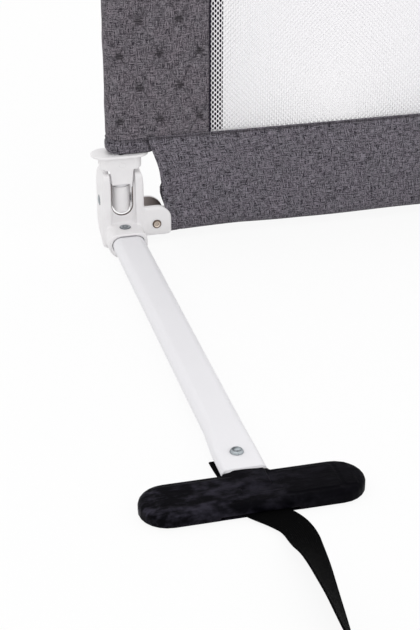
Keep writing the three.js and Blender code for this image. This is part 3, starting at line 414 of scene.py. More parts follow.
def binding_tape():
    """Close navy-black tape that binds the nets."""
    finish = Finish("binding_tape", (0.012, 0.009, 0.018), 0.9, Specular_IOR_Level=0.1)
    weave = finish.noise("UV", 900)
    finish.colour(weave, (0.006, 0.0045, 0.010), (0.026, 0.020, 0.036))
    finish.bump(weave, 0.0002, 0.7)
    return finish.material


# Holes of the nets: half the step between columns, step along them, and half axes
HOLE_ACROSS = 2.28 * MM
HOLE_ALONG = 4.58 * MM
HOLE_WIDTH = 1.01 * MM
HOLE_HEIGHT = 1.64 * MM
STRAND_COVER = 0.88


def warp_knit_net(veil):
    """White knitted mesh: staggered oval holes, veiled by loose threads, among round strands."""
    finish = Finish("warp_knit_net", (0.90, 0.90, 0.91), 0.85, Specular_IOR_Level=0.2)
    u, v = finish.axes("UV")
    across = u / HOLE_ACROSS
    along = v / HOLE_ALONG

    def reach(shift):
        x = ((across + shift) % 2.0 - 1.0) * (HOLE_ACROSS / HOLE_WIDTH)
        z = ((along + shift * 0.5) % 1.0 - 0.5) * (HOLE_ALONG / HOLE_HEIGHT)
        return x * x + z * z

    hole = reach(0.0).least(reach(1.0))
    finish.set("Alpha", hole.between(0.84, 1.12) * (STRAND_COVER - veil) + veil)
    shade = hole.between(0.9, 2.4)
    yarn = finish.noise("UV", (5200, 2100, 1), 1)
    finish.colour(shade * 0.75 + yarn * 0.25, (0.915, 0.902, 0.925), (0.945, 0.932, 0.955))
    finish.bump(shade + yarn * 0.3, 0.00012, 0.5)
    return finish.material


def black_webbing():
    """Woven strap: fine ribs across it and cords along it."""
    finish = Finish("black_webbing", (0.004, 0.004, 0.004), 0.8, Specular_IOR_Level=0.03)
    across, along = finish.axes("UV")
    cords = (across * 3900).wave()
    weave = (along * 5200).wave() * cords
    fuzz = finish.noise("UV", (1700, 900, 1))
    finish.colour((weave * 0.3 + 0.5) * fuzz, (0.0008, 0.0008, 0.0009), (0.0042, 0.0042, 0.0045))
    finish.set("Roughness", 0.76 + fuzz * 0.2)
    finish.bump(weave + cords * 0.5 + fuzz * 0.4, 0.00022, 0.7)
    return finish.material


def painted_shade_grey():
    """Grey-brown painted shade for the sheets in the clevis, lighter beside the housing, and round
    the slot.
    """
    finish = Finish("painted_shade_grey", (0.10, 0.085, 0.078), 0.7, Specular_IOR_Level=0.2)
    rub = finish.noise("Object", (120, 120, 40), 3)
    # Painted shade: light beside the housing, dark away from it and in the slot
    finish.colour(finish.attribute("painted_shade"), (0.74, 0.66, 0.63), (0.12, 0.092, 0.086))
    finish.set("Roughness", 0.55 + rub * 0.25)
    finish.bump(rub, 0.0001, 0.5)
    return finish.material


MATERIALS = {
    "white_plastic": moulded_white(),
    "white_enamel": white_enamel(),
    "black_plastic": moulded_black(),
    "rubber": pad_rubber(),
    "zinc": bare_metal("zinc_plate", (0.40, 0.44, 0.47), 700, (0.33, 0.37, 0.39),
                       (0.54, 0.58, 0.61), (0.055, 0.065, 0.072), 0.92, 0.2, 0.22),
    "brass": bare_metal("rolled_brass", (0.62, 0.50, 0.40), 900, (0.60, 0.49, 0.40),
                        (0.92, 0.84, 0.76), (0.045, 0.022, 0.014), 0.95, 0.22, 0.2),
    "cloth": plain_cloth(),
    "quilted": quilted_cloth(),
    "net": warp_knit_net(0.0),
    "back_net": warp_knit_net(0.25),
    "webbing": black_webbing(),
    "tape": binding_tape(),
    "painted_shade_sheet": painted_shade_grey(),
}


# Meshes

SLOTS = {entry["node"]: entry["material_slot"] for entry in frame["record"]["subparts"]}
# Points closer than these are one: in a solid's seams, and where a grid meets itself
SEAM_GAP = 0.005 * MM
GRID_GAP = 0.01 * MM
# In degrees: faces nearer than this are one plane, and edges sharper than this get rounded
FLAT_ANGLE = 1.2
EDGE_ANGLE = 32
TURN_STEPS = 40
# Columns and rows of the cloths. The right side is out of the photograph, so it is coarser.
GRIDS = {
    "left_side": (250, 120),
    "right_side": (188, 90),
    "top": (420, 64),
    "net": (160, 36),
    "cuff": (64, 150),
    "skirt": (640, 56),
}
# Ripples of the cloths: their width and height in millimetres
RIPPLES = {
    "panel": (22, 0.5),
    "net": (60, 0.25),
    "tape": (18, 0.25),
    "cuff": (8, 0.55),
}
# In degrees: the angle over which an edge is drawn sharp
SHARP_SOLID = 38
SHARP_TURNED = 50
SHARP_LINER = 30
SHARP_TAPE = 60
SHARP_CLOTH = 70


def merge(shape, gap=SEAM_GAP):
    bmesh.ops.remove_doubles(shape, verts=shape.verts[:], dist=gap)


def face_outwards(shape):
    bmesh.ops.recalc_face_normals(shape, faces=shape.faces[:])


def mesh_of(name, shape):
    mesh = bpy.data.meshes.new(name)
    shape.to_mesh(mesh)
    shape.free()
    return mesh


def finished(name, shape, material, body, slot, smooth_angle=None):
    """A shape that is already in place, as a piece that rides on a body."""
    mesh = mesh_of(name, shape)
    for polygon in mesh.polygons:
        polygon.use_smooth = True
    if smooth_angle is not None:
        mesh.set_sharp_from_angle(angle=math.radians(smooth_angle))
    mesh.materials.clear()
    mesh.materials.append(MATERIALS[material])
    piece = linked(name, mesh)
    if body is not None:
        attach(piece, body)
    return piece


def fitted_grid(columns, rows, place, flat, shades=None, joined=False, capped=False, thickness=0.0):
    """A grid laid over a form. place gives the point and flat the cloth's own coordinates, in
    metres, for shares of the way along and across."""
    shape = bmesh.new()
    bmesh.ops.create_grid(shape, x_segments=columns, y_segments=rows, size=0.5)
    cloth = shape.loops.layers.uv.new("UVMap")
    # Each vertex's painted shade, by which the materials darken
    shade = shape.verts.layers.float.new("painted_shade")
    shares = {vert: (vert.co.x + 0.5, vert.co.y + 0.5) for vert in shape.verts}
    for face in shape.faces:
        for loop in face.loops:
            loop[cloth].uv = flat(*shares[loop.vert])
    for vert, share in shares.items():
        vert.co = place(*share)
        if shades is not None:
            vert[shade] = shades(*share)
    if joined:
        merge(shape, GRID_GAP)
    if capped:
        ends = [edge for edge in shape.edges if edge.is_boundary]
        bmesh.ops.holes_fill(shape, edges=ends, sides=0)
    face_outwards(shape)
    if thickness:
        bmesh.ops.solidify(shape, geom=shape.faces[:], thickness=thickness)
        face_outwards(shape)
    return shape


def smooth_step(value):
    value = min(max(value, 0.0), 1.0)
    return value * value * (3 - 2 * value)


def bell(value, width):
    """1 at nought, fading to nothing a few widths away."""
    return math.exp(-(value / width) ** 2)


def arc(centre, radius, start, sweep, steps, shrink=0.0):
    """Places on an arc or a spiral, both ends included."""
    places = []
    for i in range(steps + 1):
        angle = start + sweep * i / steps
        reach = radius - shrink * i / steps
        places.append((centre[0] + reach * math.cos(angle), centre[1] + reach * math.sin(angle)))
    return places


def runs_along(places):
    """Distance from the first place to each one, along the line through them."""
    runs = [0.0]
    for before, after in zip(places, places[1:]):
        runs.append(runs[-1] + math.dist(before, after))
    return runs


def place_at(places, runs, run):
    """The place that lies so far along the line."""
    i = min(max(bisect.bisect_right(runs, run) - 1, 0), len(places) - 2)
    share = (run - runs[i]) / (runs[i + 1] - runs[i])
    return [a + (b - a) * share for a, b in zip(places[i], places[i + 1])]


def looked_up(table, value):
    """What a table of rising pairs gives for a value between them."""
    for (x0, y0), (x1, y1) in zip(table, table[1:]):
        if value <= x1:
            break
    return y0 + (y1 - y0) * min(max((value - x0) / (x1 - x0), 0), 1)


def solid_of(node):
    """A CAD node's own shape with its seams merged."""
    shape = bmesh.new()
    shape.from_mesh(frame["nodes"][node].data)
    merge(shape)
    return shape


def stand_in(node, shape, material, smooth_angle=None):
    """A shape as the piece that is seen instead of a CAD node."""
    body = frame["nodes"][node]["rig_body"]
    piece = finished(f"{node}_finished", shape, material, body, SLOTS[node], smooth_angle)
    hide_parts(node)
    return piece


def refined(node, material, edge):
    """A CAD node with its edges rounded as moulded, by millimetres."""
    shape = solid_of(node)
    bmesh.ops.dissolve_limit(shape, angle_limit=math.radians(FLAT_ANGLE), verts=shape.verts[:],
                             edges=shape.edges[:])
    sharp = [one for one in shape.edges if len(one.link_faces) == 2
             and one.calc_face_angle(0.0) > math.radians(EDGE_ANGLE)]
    if edge:
        bmesh.ops.bevel(shape, geom=sharp, offset=edge * MM, offset_type="OFFSET", segments=3,
                        profile=0.5, affect="EDGES", material=-1, clamp_overlap=True)
    piece = stand_in(node, shape, material, SHARP_SOLID)
    piece.modifiers.new("weighted normals", "WEIGHTED_NORMAL").keep_sharp = True
    return piece


def softened(node, material, grain, passes, shape_more=None):
    """A moulded CAD node with its corners and roots rounded all over, as they leave the mould."""
    blank = linked("blank", mesh_of("blank", solid_of(node)))
    remesh = blank.modifiers.new("grain", "REMESH")
    remesh.mode = "VOXEL"
    remesh.voxel_size = grain * MM
    seen = blank.evaluated_get(bpy.context.evaluated_depsgraph_get())
    mesh = bpy.data.meshes.new_from_object(seen)
    bpy.data.objects.remove(blank)
    shape = bmesh.new()
    shape.from_mesh(mesh)
    for _ in range(passes):
        bmesh.ops.smooth_vert(shape, verts=shape.verts[:], factor=0.5, use_axis_x=True,
                              use_axis_y=True, use_axis_z=True)
    if shape_more is not None:
        shape_more(shape)
    return stand_in(node, shape, material)


def turned_piece(name, profile, origin, turn, material, body, slot, lean=0.0):
    """A turned piece from [radius, height, darkness of painted shade] in millimetres, spun about Z
    and then turned. Lean paints more shade on the side away from the bed than towards it."""
    shape = bmesh.new()
    shade = shape.verts.layers.float.new("painted_shade")
    verts = []
    for radius, height, *dark in profile:
        verts.append(shape.verts.new((radius * MM, 0, height * MM)))
        verts[-1][shade] = dark[0] if dark else 0.0
    edges = [shape.edges.new(pair) for pair in zip(verts, verts[1:])]
    bmesh.ops.spin(shape, geom=verts + edges, cent=(0, 0, 0), axis=(0, 0, 1), angle=2 * math.pi,
                   steps=TURN_STEPS, use_merge=True)
    merge(shape)
    face_outwards(shape)
    # Lean: heavier painted shade on one side of the head, as a dark crescent
    for vert in shape.verts:
        away = vert.co.to_2d()
        if lean and away.length > 0:
            turned = max(0.0, away.normalized().dot(Vector((-0.6, 0.8))))
            vert[shade] *= 1 - lean + lean * turned * 1.2
    placed = Matrix.Translation(origin) @ turn.to_4x4()
    bmesh.ops.transform(shape, matrix=placed, verts=shape.verts[:])
    return finished(name, shape, material, body, slot, SHARP_TURNED)


# Safety strap: the route of its free run from the foot, [x, y, height, lean], in millimetres

STRAP_WIDTH = 25
STRAP_THICKNESS = 1.5
TAIL_ROUTE = [
    (-5.5, -399.5, 1.4, 0), (-4.9, -411, 1.5, 0), (-4.2, -423, 2.4, 0), (-3.8, -434, 2.6, 0),
    (-3.7, -444, 2.7, 0), (-3.7, -453, 2.7, 0),
]
RUN_ROUTE = [
    (-3.7, -453.6, 2.7, 0), (-3.7, -457.5, 2.7, 0), (-1.7, -463, 2.7, 0), (2.7, -469, 2.7, 0),
    (7.8, -475, 2.7, 0), (12.2, -481, 2.7, 1), (15.8, -487.3, 2.6, 3), (17.9, -494.5, 2.8, 7),
    (18.6, -502.5, 3.3, 11), (18.2, -511, 4.2, 16), (17.6, -522, 5.8, 23), (17.1, -536, 8, 34),
    (16, -552, 9.3, 43), (14.6, -569, 10.3, 50), (13.1, -588, 11.1, 57), (11.2, -607, 11.8, 62.5),
    (9.2, -627, 12.4, 69), (7.4, -650, 12.9, 77), (6.3, -674, 13.3, 85), (6, -694, 13.6, 90),
    (6, -712.6, 13.6, 90),
]
COIL_CENTRE = (72, -713)
COIL_RADIUS = 66
COIL_PITCH = 9
COIL_TURNS = 2
COIL_HEIGHT = 13.6
COIL_STEPS = 24
CURL_RADIUS = 24
TIE_EDGE = 0.25
ANCHOR_EDGE = 0.6


def coil_route():
    coil = arc(COIL_CENTRE, COIL_RADIUS, math.pi, 2 * math.pi * COIL_TURNS,
               COIL_TURNS * COIL_STEPS, COIL_PITCH * COIL_TURNS)
    curl_x = COIL_CENTRE[0] - (COIL_RADIUS - COIL_PITCH * COIL_TURNS) + CURL_RADIUS
    curl = arc((curl_x, COIL_CENTRE[1]), CURL_RADIUS, math.pi, math.pi, COIL_STEPS // 2)
    return [(x, y, COIL_HEIGHT, 90) for x, y in coil[1:] + curl[1:]]


def smoothed(route):
    """Three times as many places along a route, on a curve through its own."""
    places = []
    for i in range(len(route) - 1):
        four = [route[max(i - 1, 0)], route[i], route[i + 1], route[min(i + 2, len(route) - 1)]]
        for t in (0, 1 / 3, 2 / 3):
            places.append(tuple(
                0.5 * (2 * b + (c - a) * t + (2 * a - 5 * b + 4 * c - d) * t * t
                       + (3 * b - a - 3 * c + d) * t ** 3)
                for a, b, c, d in zip(*four)))
    places.append(tuple(route[-1]))
    return places


# Half section of the webbing: share of its half width and of its half thickness
SELVEDGE_SHARES = [(-1, 0.35), (-0.975, 0.85), (-0.92, 1), (-0.5, 0.92), (0, 0.92),
                   (0.5, 0.92), (0.92, 1), (0.975, 0.85), (1, 0.35)]


def webbing_band(name, side, route):
    """A flat strap along a route in a corner's frame; lean 0 lies flat, 90 stands on edge."""
    centres = [Vector(place[:3]) for place in route]
    section = [(share * STRAP_WIDTH / 2, high * STRAP_THICKNESS / 2)
               for share, high in SELVEDGE_SHARES]
    section += [(x, -y) for x, y in reversed(section)]
    section.append(section[0])
    frames = []
    for i, place in enumerate(route):
        along = centres[min(i + 1, len(centres) - 1)] - centres[max(i - 1, 0)]
        along.z = 0
        along.normalize()
        level = Vector((along.y, -along.x, 0))
        lean = math.radians(place[3])
        across = level * math.cos(lean) + Vector((0, 0, 1)) * math.sin(lean)
        frames.append((across, along.cross(across)))
    lengths = runs_along(centres)
    rounds = runs_along(section)

    def stations(s, t):
        return round(s * (len(route) - 1)), round(t * (len(section) - 1))

    def place(s, t):
        i, j = stations(s, t)
        across, out = frames[i]
        return at_corner(side, *(centres[i] + across * section[j][0] + out * section[j][1]))

    def flat(s, t):
        i, j = stations(s, t)
        return rounds[j] * MM, lengths[i] * MM

    shape = fitted_grid(len(route) - 1, len(section) - 1, place, flat, joined=True, capped=True)
    return finished(name, shape, "webbing", "base", "webbing"), lengths[-1] * MM


for side_name, side in SIDES.items():
    tail, tail_length = webbing_band(f"{side_name}_strap_tail_webbing", side, smoothed(TAIL_ROUTE))
    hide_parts(f"{side_name}_strap_tail")
    full_route = smoothed(RUN_ROUTE + coil_route())
    strap, strap_length = webbing_band(f"{side_name}_strap_webbing", side, full_route)
    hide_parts(f"{side_name}_strap_run", f"{side_name}_strap_coil")
    tie = refined(f"{side_name}_strap_tie", "webbing", TIE_EDGE)
    anchor = refined(f"{side_name}_strap_anchor", "black_plastic", ANCHOR_EDGE)
    print("strap", side_name, round(strap_length, 4), "tail", round(tail_length, 4))


# Housing, knuckle, collar and the rest of the hinge

# Node: material, and the width of its rounded edges
CORNER_FINISH = {
    "knuckle": ("white_plastic", 0.4),
    "collar_pin": ("white_plastic", 0.0),
    "spring_plug": ("black_plastic", 0.3),
    "foot_pad_inner": ("rubber", 0.4),
    "foot_pad_outer": ("rubber", 0.4),
    "arm": ("white_enamel", 0.0),
    "upright_tube": ("white_enamel", 0.0),
    "joint_sleeve": ("zinc", 0.0),
    "joint_screw": ("zinc", 0.0),
}
# Node: material, size of the grain that it is rounded by, and passes of rounding
MOULDED = {
    "hinge_housing": ("white_plastic", 0.75, 4),
    "collar": ("white_plastic", 0.55, 4),
    "foot": ("black_plastic", 0.72, 2),
}
# Hump over the arm's end: the source's place across it, and the place that it goes to
HUMP_ACROSS = [(-20, -20), (-16.5, -12.6), (-12, -8.2), (12, 12.4), (16.5, 14.6), (20, 20)]
HUMP_HALF = 20
HUMP_HEIGHT = 11.3
HUMP_END = -459
HUMP_LOWERED = 0.8


def hump_to_measure(side):
    """The hump over the arm's end leans: steep on its outer side, and lower on its inner one."""
    def shaped(shape):
        for vert in shape.verts:
            x = (AXIS_X - side * vert.co.x) / MM
            share = smooth_step((vert.co.z / MM - HUMP_HEIGHT) / 0.7)
            on_hump = abs(x) < HUMP_HALF and (vert.co.y - AXIS_Y) / MM > HUMP_END
            if share > 0 and on_hump:
                moved = x + (looked_up(HUMP_ACROSS, x) - x) * share
                vert.co.x = side * (AXIS_X - moved * MM)
                vert.co.z -= share * HUMP_LOWERED * smooth_step((x + 6) / 18) * MM
    return shaped


for side_name, side in SIDES.items():
    for part, (material, edge) in CORNER_FINISH.items():
        refined(f"{side_name}_{part}", material, edge)
    for part, (material, grain, passes) in MOULDED.items():
        softened(f"{side_name}_{part}", material, grain, passes,
                 hump_to_measure(side) if part == "foot" else None)
    spring = refined(f"{side_name}_collar_spring", "zinc", 0.0)
    low, high = [corner.z for corner in map(Vector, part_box(f"{side_name}_collar_spring"))]
    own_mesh(spring)
for part in ("top_bar", "lower_bar"):
    refined(part, "white_enamel", 0.0)


# Rivets and the eyelet

UPRIGHT = Matrix.Identity(3)
TOWARDS_BED = Matrix.Rotation(math.radians(90), 3, "X")
AWAY_FROM_BED = Matrix.Rotation(math.radians(-90), 3, "X")
ALONG_ROW = Matrix.Rotation(math.radians(90), 3, "Y")

# Formed heads from their middle outwards: radius, height, and darkness of painted shade
FLAT_HEAD = [(0, 0.25), (1.0, 0.3), (1.7, 0.1, 0.75), (2.6, 0.05, 0.5), (3.4, 0.35),
             (4.2, 0.6, 0.1), (4.8, 0.5, 0.5), (5.15, 0.25, 0.9), (5.3, 0.0, 1.0)]
DISHED_HEAD = [(0, 0.85), (1.1, 0.95), (2.0, 1.35, 0.5), (2.7, 1.75, 0.85), (3.3, 1.95, 0.55),
               (3.9, 1.85, 0.25), (4.5, 1.3, 0.45), (4.9, 0.6, 0.7), (5.05, 0.0, 0.8)]
DOMED_HEAD = [(0, 1.35, 0.15), (1.2, 1.3, 0.15), (2.6, 1.1, 0.25), (3.8, 0.75, 0.35),
              (4.7, 0.35, 0.6), (5.2, 0.05, 0.95), (5.4, -0.2, 1.0)]
ROLL = [(1.55, -0.35, 1.0), (1.7, 0.1, 0.5), (2.1, 0.6), (2.6, 0.95, 0.15), (3.0, 0.92, 0.75),
        (3.5, 0.75, 0.9), (3.95, 0.4, 1.0), (4.2, 0.0, 1.0)]
EYE = [(0, -0.25, 1.0), (0.45, -0.25, 1.0), (0.6, -0.1, 0.9), (0.75, 0.0), (1.35, -0.05),
       (1.5, -0.3, 0.8)]
PIN_CAP = [(0, 0.2), (2.1, 0.2), (2.5, 0.16), (2.7, 0.04), (2.75, -0.1)]
# Lower end and shank of two rivets, from below up to the rim of the head
SOCKET_SHANK = [(0, -21.1), (5.3, -21.1), (5.3, -20.0), (2.3, -20.0), (2.3, 0.0),
                (5.3, 0.0, 1.0)]
FOOT_SHANK = [(0, -10.8), (3.0, -10.8), (3.6, -10.4), (3.6, -9.6), (2.3, -9.6), (2.3, 0.0),
              (5.05, 0.0, 0.8)]
SOCKET_RIVET = (-19, 21.8)
FOOT_RIVET = (-409.6, 14.0)
PIVOT = (3, 42.3)
PIVOT_FACE = 19.5
SHANK_RADIUS = 3
EYELET = (31.6, 19)
EYELET_FRONT = 13.2
EYELET_BACK = -18.2
PIN_HEIGHT = 80
PIN_FACE = 11.2


def both_ends(profile, high, low):
    """A shank between two faces, with the same profile mirrored on them."""
    top = [(radius, high + height, *dark) for radius, height, *dark in reversed(profile)]
    foot = [(radius, low - height, *dark) for radius, height, *dark in profile]
    return foot + [(SHANK_RADIUS, low), (SHANK_RADIUS, high)] + top


for side_name, side in SIDES.items():
    # The last number of each rivet is its lean: painted shade heavier on one side of its head
    rivets = (
        ("socket_rivet", SOCKET_SHANK + FLAT_HEAD[-2::-1], (0, *SOCKET_RIVET), UPRIGHT, "zinc",
         0.0),
        ("foot_rivet", FOOT_SHANK + DISHED_HEAD[-2::-1], (0, *FOOT_RIVET), UPRIGHT, "zinc", 0.75),
        ("pivot_pin", both_ends(DOMED_HEAD, PIVOT_FACE, -PIVOT_FACE), (0, *PIVOT), ALONG_ROW,
         "zinc", 0.0),
        ("clevis_eyelet", both_ends(EYE + ROLL, EYELET_FRONT, EYELET_BACK),
         (EYELET[0], 0, EYELET[1]), TOWARDS_BED, "brass", 0.0),
    )
    for part, profile, place, turn, material, lean in rivets:
        piece = turned_piece(f"{side_name}_{part}_turned", profile, at_corner(side, *place), turn,
                             material, "base", material, lean)
        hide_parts(f"{side_name}_{part}")
    for end, turn, face in (("front", TOWARDS_BED, -PIN_FACE), ("back", AWAY_FROM_BED, PIN_FACE)):
        turned_piece(f"{side_name}_collar_pin_{end}_cap", PIN_CAP,
                     at_corner(side, 0, face, PIN_HEIGHT), turn, "white_plastic",
                     f"{side_name}_collar", "white_plastic")


# Dark sheets that carry painted shade in the clevis and round the housing's slot, and ribs inside
# its legs

# The clevis's rear cheek: its shade sheet's square corners, and the arc over the bar's end
CHEEK_CORNERS = [(20.4, 7.6), (43.0, 7.6), (43.2, 20.0)]
CHEEK_ARC = ((27.5, 20.5), 15.7)
CHEEK_TOP = (20.4, 36.2)
CHEEK_Y = 13.75
CHEEK_SHADE_SHEET = 0.2
CHEEK_STEPS = 10
SLOT_HALF = 9.75
SLOT_SHADE_SHEET = 0.55
SLOT_CENTRE = 39.4
SLOT_FRONT = -8.2
SLOT_BACK = -6.4
SLOT_STEPS = 24
SHADE_SHEET_TOP = 61


def drawn_back(shape, made, depth):
    """Moves what was extruded away from the bed, by millimetres."""
    moved = [one for one in made["geom"] if isinstance(one, bmesh.types.BMVert)]
    bmesh.ops.translate(shape, vec=Vector((0, depth * MM, 0)), verts=moved)
    face_outwards(shape)


def painted_shade_sheet(name, shape, darkness):
    shade = shape.verts.layers.float.new("painted_shade")
    for vert in shape.verts:
        vert[shade] = darkness(vert.co)
    return finished(name, shape, "painted_shade_sheet", "base", "black_plastic", SHARP_LINER)


def clevis_shade_sheet(side_name, side):
    """A thin dark sheet on the inside of the clevis's rear cheek, painted with the shade that falls
    there, darker away from the housing.
    """
    shape = bmesh.new()
    outline = CHEEK_CORNERS + arc(*CHEEK_ARC, 0, math.pi / 2, CHEEK_STEPS) + [CHEEK_TOP]
    verts = [shape.verts.new(at_corner(side, x, CHEEK_Y, z)) for x, z in outline]
    face = shape.faces.new(verts)
    drawn_back(shape, bmesh.ops.extrude_face_region(shape, geom=[face]), CHEEK_SHADE_SHEET)
    # Painted shade: darker away from the housing
    return painted_shade_sheet(f"{side_name}_clevis_shade_sheet", shape,
                 lambda point: smooth_step(((AXIS_X - abs(point.x)) / MM - 18) / 20))


def slot_shade_sheet(side_name, side):
    """Thin dark strip round the housing's slot, painted shade for the gap round the knuckle's end.
    """
    shape = bmesh.new()
    bend = arc((0, SLOT_CENTRE), SLOT_HALF, math.pi, math.pi, SLOT_STEPS)
    route = [(-SLOT_HALF, SHADE_SHEET_TOP)] + bend + [(SLOT_HALF, SHADE_SHEET_TOP)]
    verts = [shape.verts.new(at_corner(side, x, SLOT_FRONT, z)) for x, z in route]
    edges = [shape.edges.new(pair) for pair in zip(verts, verts[1:])]
    made = bmesh.ops.extrude_edge_only(shape, edges=edges)
    drawn_back(shape, made, SLOT_BACK - SLOT_FRONT)
    middle = at_corner(side, 0, SLOT_FRONT, SLOT_CENTRE)
    shape.faces.ensure_lookup_table()
    face = shape.faces[len(shape.faces) // 2]
    inwards = (middle - face.calc_center_median()).dot(face.normal) > 0
    bmesh.ops.solidify(shape, geom=shape.faces[:],
                       thickness=(SLOT_SHADE_SHEET if inwards else -SLOT_SHADE_SHEET) * MM)
    face_outwards(shape)
    # Painted shade, dark all over
    return painted_shade_sheet(f"{side_name}_slot_shade_sheet", shape, lambda point: 1.0)


# Ribs inside the legs, beside the collar's tongue: low and high corner, and eased edges
RIBS = {
    "inner": ((9.9, -7.2, 60.5), (11.8, -6.6, 71.0)),
    "outer": ((-11.8, -7.2, 60.5), (-9.9, -6.6, 71.0)),
}
RIB_EDGE = 0.12


def leg_rib(name, side, low, high):
    shape = bmesh.new()
    bmesh.ops.create_cube(shape, size=1.0)
    size = Vector([b - a for a, b in zip(low, high)]) * MM
    bmesh.ops.scale(shape, vec=size, verts=shape.verts[:])
    middle = at_corner(side, *[(a + b) / 2 for a, b in zip(low, high)])
    bmesh.ops.translate(shape, vec=middle, verts=shape.verts[:])
    bmesh.ops.bevel(shape, geom=shape.edges[:], offset=RIB_EDGE * MM, offset_type="OFFSET",
                    segments=2, profile=0.5, affect="EDGES", material=-1)
    return finished(name, shape, "white_plastic", "base", "white_plastic", SHARP_LINER)


for side_name, side in SIDES.items():
    clevis_shade_sheet(side_name, side)
    slot_shade_sheet(side_name, side)
    for end, (low, high) in RIBS.items():
        leg_rib(f"{side_name}_leg_rib_{end}", side, low, high)


# Cover: quilted frame of cloth round the window

COVER_LEFT = -11.7
COVER_TOP = 451
COVER_BOTTOM = 104.6
COVER_HALF = 11.2
CORNER_RADIUS = 73
WINDOW_LEFT = 84.0
WINDOW_TOP = 395
WINDOW_BOTTOM = 104
HEM = 3.0
SHELL = 1.0 * MM
# Padding: its height, how far its rise reaches from a seam and its dip from a tuft, and the
# narrow dimple at the tuft. A seam's slant brings it nearer than it is straight across, and a
# tuft's distance counts less across than down.
PUFF = 1.8
SEAM_REACH = 5.5
SEAM_SLANT = 0.855
TUFT_REACH = 12
TUFT_STRETCH = (0.62, 1.5)
DIMPLE_REACH = 3.4
DIMPLE_DEPTH = 0.9
# Of the way from the window's edge to the fold's middle: end of the hem, start of the fold
HEM_END = 0.04
FOLD_START = 0.86


def quilting(x, z):
    """Rise of the padding in millimetres and its painted shade at the seams and tufts, at a place
    on the panel.
    """
    across = (x - TUFT_X) / TUFT_ACROSS
    rows = (z - TUFT_Z) / ROW_PITCH
    row = math.floor(rows)
    spread = ogee(1 - (rows - row))
    # Distances to the two seams and to the nearest tufts of this row and the next
    seams = []
    for sign in (-1, 1):
        gap = (across - 0.5 * ((row + 1) % 2) - sign * spread + 0.5) % 1.0 - 0.5
        seams.append(abs(gap) * TUFT_ACROSS * SEAM_SLANT)
    tufts = []
    for step in (0, 1):
        near = (across - 0.5 * ((row + step) % 2) + 0.5) % 1.0 - 0.5
        tufts.append(math.hypot(near * TUFT_ACROSS * TUFT_STRETCH[0],
                                (rows - row - step) * ROW_PITCH * TUFT_STRETCH[1]))
    tuft = min(tufts)
    rise = (1 - math.exp(-seams[0] / SEAM_REACH)) * (1 - math.exp(-seams[1] / SEAM_REACH))
    near_tuft = bell(tuft, TUFT_REACH)
    dimple = bell(tuft, DIMPLE_REACH)
    depth = 0.35 + 0.65 * near_tuft
    height = PUFF * (1 - depth * (1 - rise)) - DIMPLE_DEPTH * dimple
    # Painted shade at the seams, near the tufts and in the dimples
    painted_shade = min(1.0, 0.12 * bell(min(seams), 1.5) + 0.08 * near_tuft + 0.12 * dimple)
    return height, painted_shade


def cloth_ripple(x, z, kind):
    """Uneven rise of a cloth, in millimetres."""
    size, amount = RIPPLES[kind]
    return amount * noise.noise(Vector((x / size, z / size, 3.7)))


class CoverStrip:
    """One stretch of the cover: a pair of curves, the fold's centre line outside and the
    window's edge inside, with the front and back faces hung between them."""

    def __init__(self, outer, inner, normal):
        self.outer = outer
        self.inner = inner
        self.normal = normal

    def across(self, s, t):
        """Point in the panel's plane, depth, way out, place on the flat cloth and share of the
        face, for shares along and across."""
        outer, inner, normal = self.outer(s), self.inner(s), self.normal(s)
        part = (1 - t if t > 0.5 else t) / 0.5
        sign = 1 if t > 0.5 else -1
        if part < HEM_END:
            depth = sign * (COVER_HALF - HEM * (1 - part / HEM_END))
            return inner, depth, Vector((0, sign, 0)), inner, 0.0
        if part < FOLD_START:
            share = (part - HEM_END) / (FOLD_START - HEM_END)
            plane = inner.lerp(outer, share)
            return plane, sign * COVER_HALF, Vector((0, sign, 0)), plane, share
        angle = (part - FOLD_START) / (1 - FOLD_START) * math.pi / 2
        bent = normal * math.sin(angle)
        out = Vector((bent.x, sign * math.cos(angle), bent.y))
        flat = outer + normal * COVER_HALF * angle
        return outer + bent * COVER_HALF, out.y * COVER_HALF, out, flat, 1.0

    def rise(self, s, t):
        """Rise of the padding and its painted shade, which fade at the panel's edges."""
        plane, *_, share = self.across(s, t)
        height, painted_shade = quilting(plane.x, plane.y)
        edge = min(1.0, share * (self.inner(s) - self.outer(s)).length / 7.0)
        at_fold = smooth_step((min(t, 1 - t) / 0.5 - 0.84) / 0.12)
        fade = smooth_step(edge) * (1 - 0.45 * at_fold)
        low = smooth_step((plane.y - COVER_BOTTOM) / 6.0)
        height = height * fade * (0.25 + 0.75 * low) + cloth_ripple(plane.x, plane.y, "panel")
        return height, painted_shade * fade * low

    def place(self, side):
        def placed(s, t):
            plane, depth, out, *_ = self.across(s, t)
            point = Vector((plane.x, depth, plane.y)) + out * self.rise(s, t)[0]
            return at_corner(side, *point)
        return placed

    def flat(self, s, t):
        flat = self.across(s, t)[3]
        return flat.x * MM, flat.y * MM

    def shade(self, s, t):
        # Painted shade on the hem's wall at the window's edge, added to the padding's painted shade
        seam = 1.0 - smooth_step((min(t, 1 - t) / 0.5 - 0.045) / 0.02)
        return min(1.0, self.rise(s, t)[1] + seam)


FOLD_LEFT = COVER_LEFT + COVER_HALF
FOLD_TOP = COVER_TOP - COVER_HALF
FOLD_RADIUS = CORNER_RADIUS - COVER_HALF
SIDE_LENGTH = FOLD_TOP - FOLD_RADIUS - COVER_BOTTOM
ARC_LENGTH = FOLD_RADIUS * math.pi / 2
LEAD_LENGTH = WINDOW_LEFT - FOLD_LEFT - FOLD_RADIUS
SIDE_TOTAL = SIDE_LENGTH + ARC_LENGTH + LEAD_LENGTH
# The panel's rounded corner and its lead are hung from this much of the window's edge
CORNER_REACH = 22


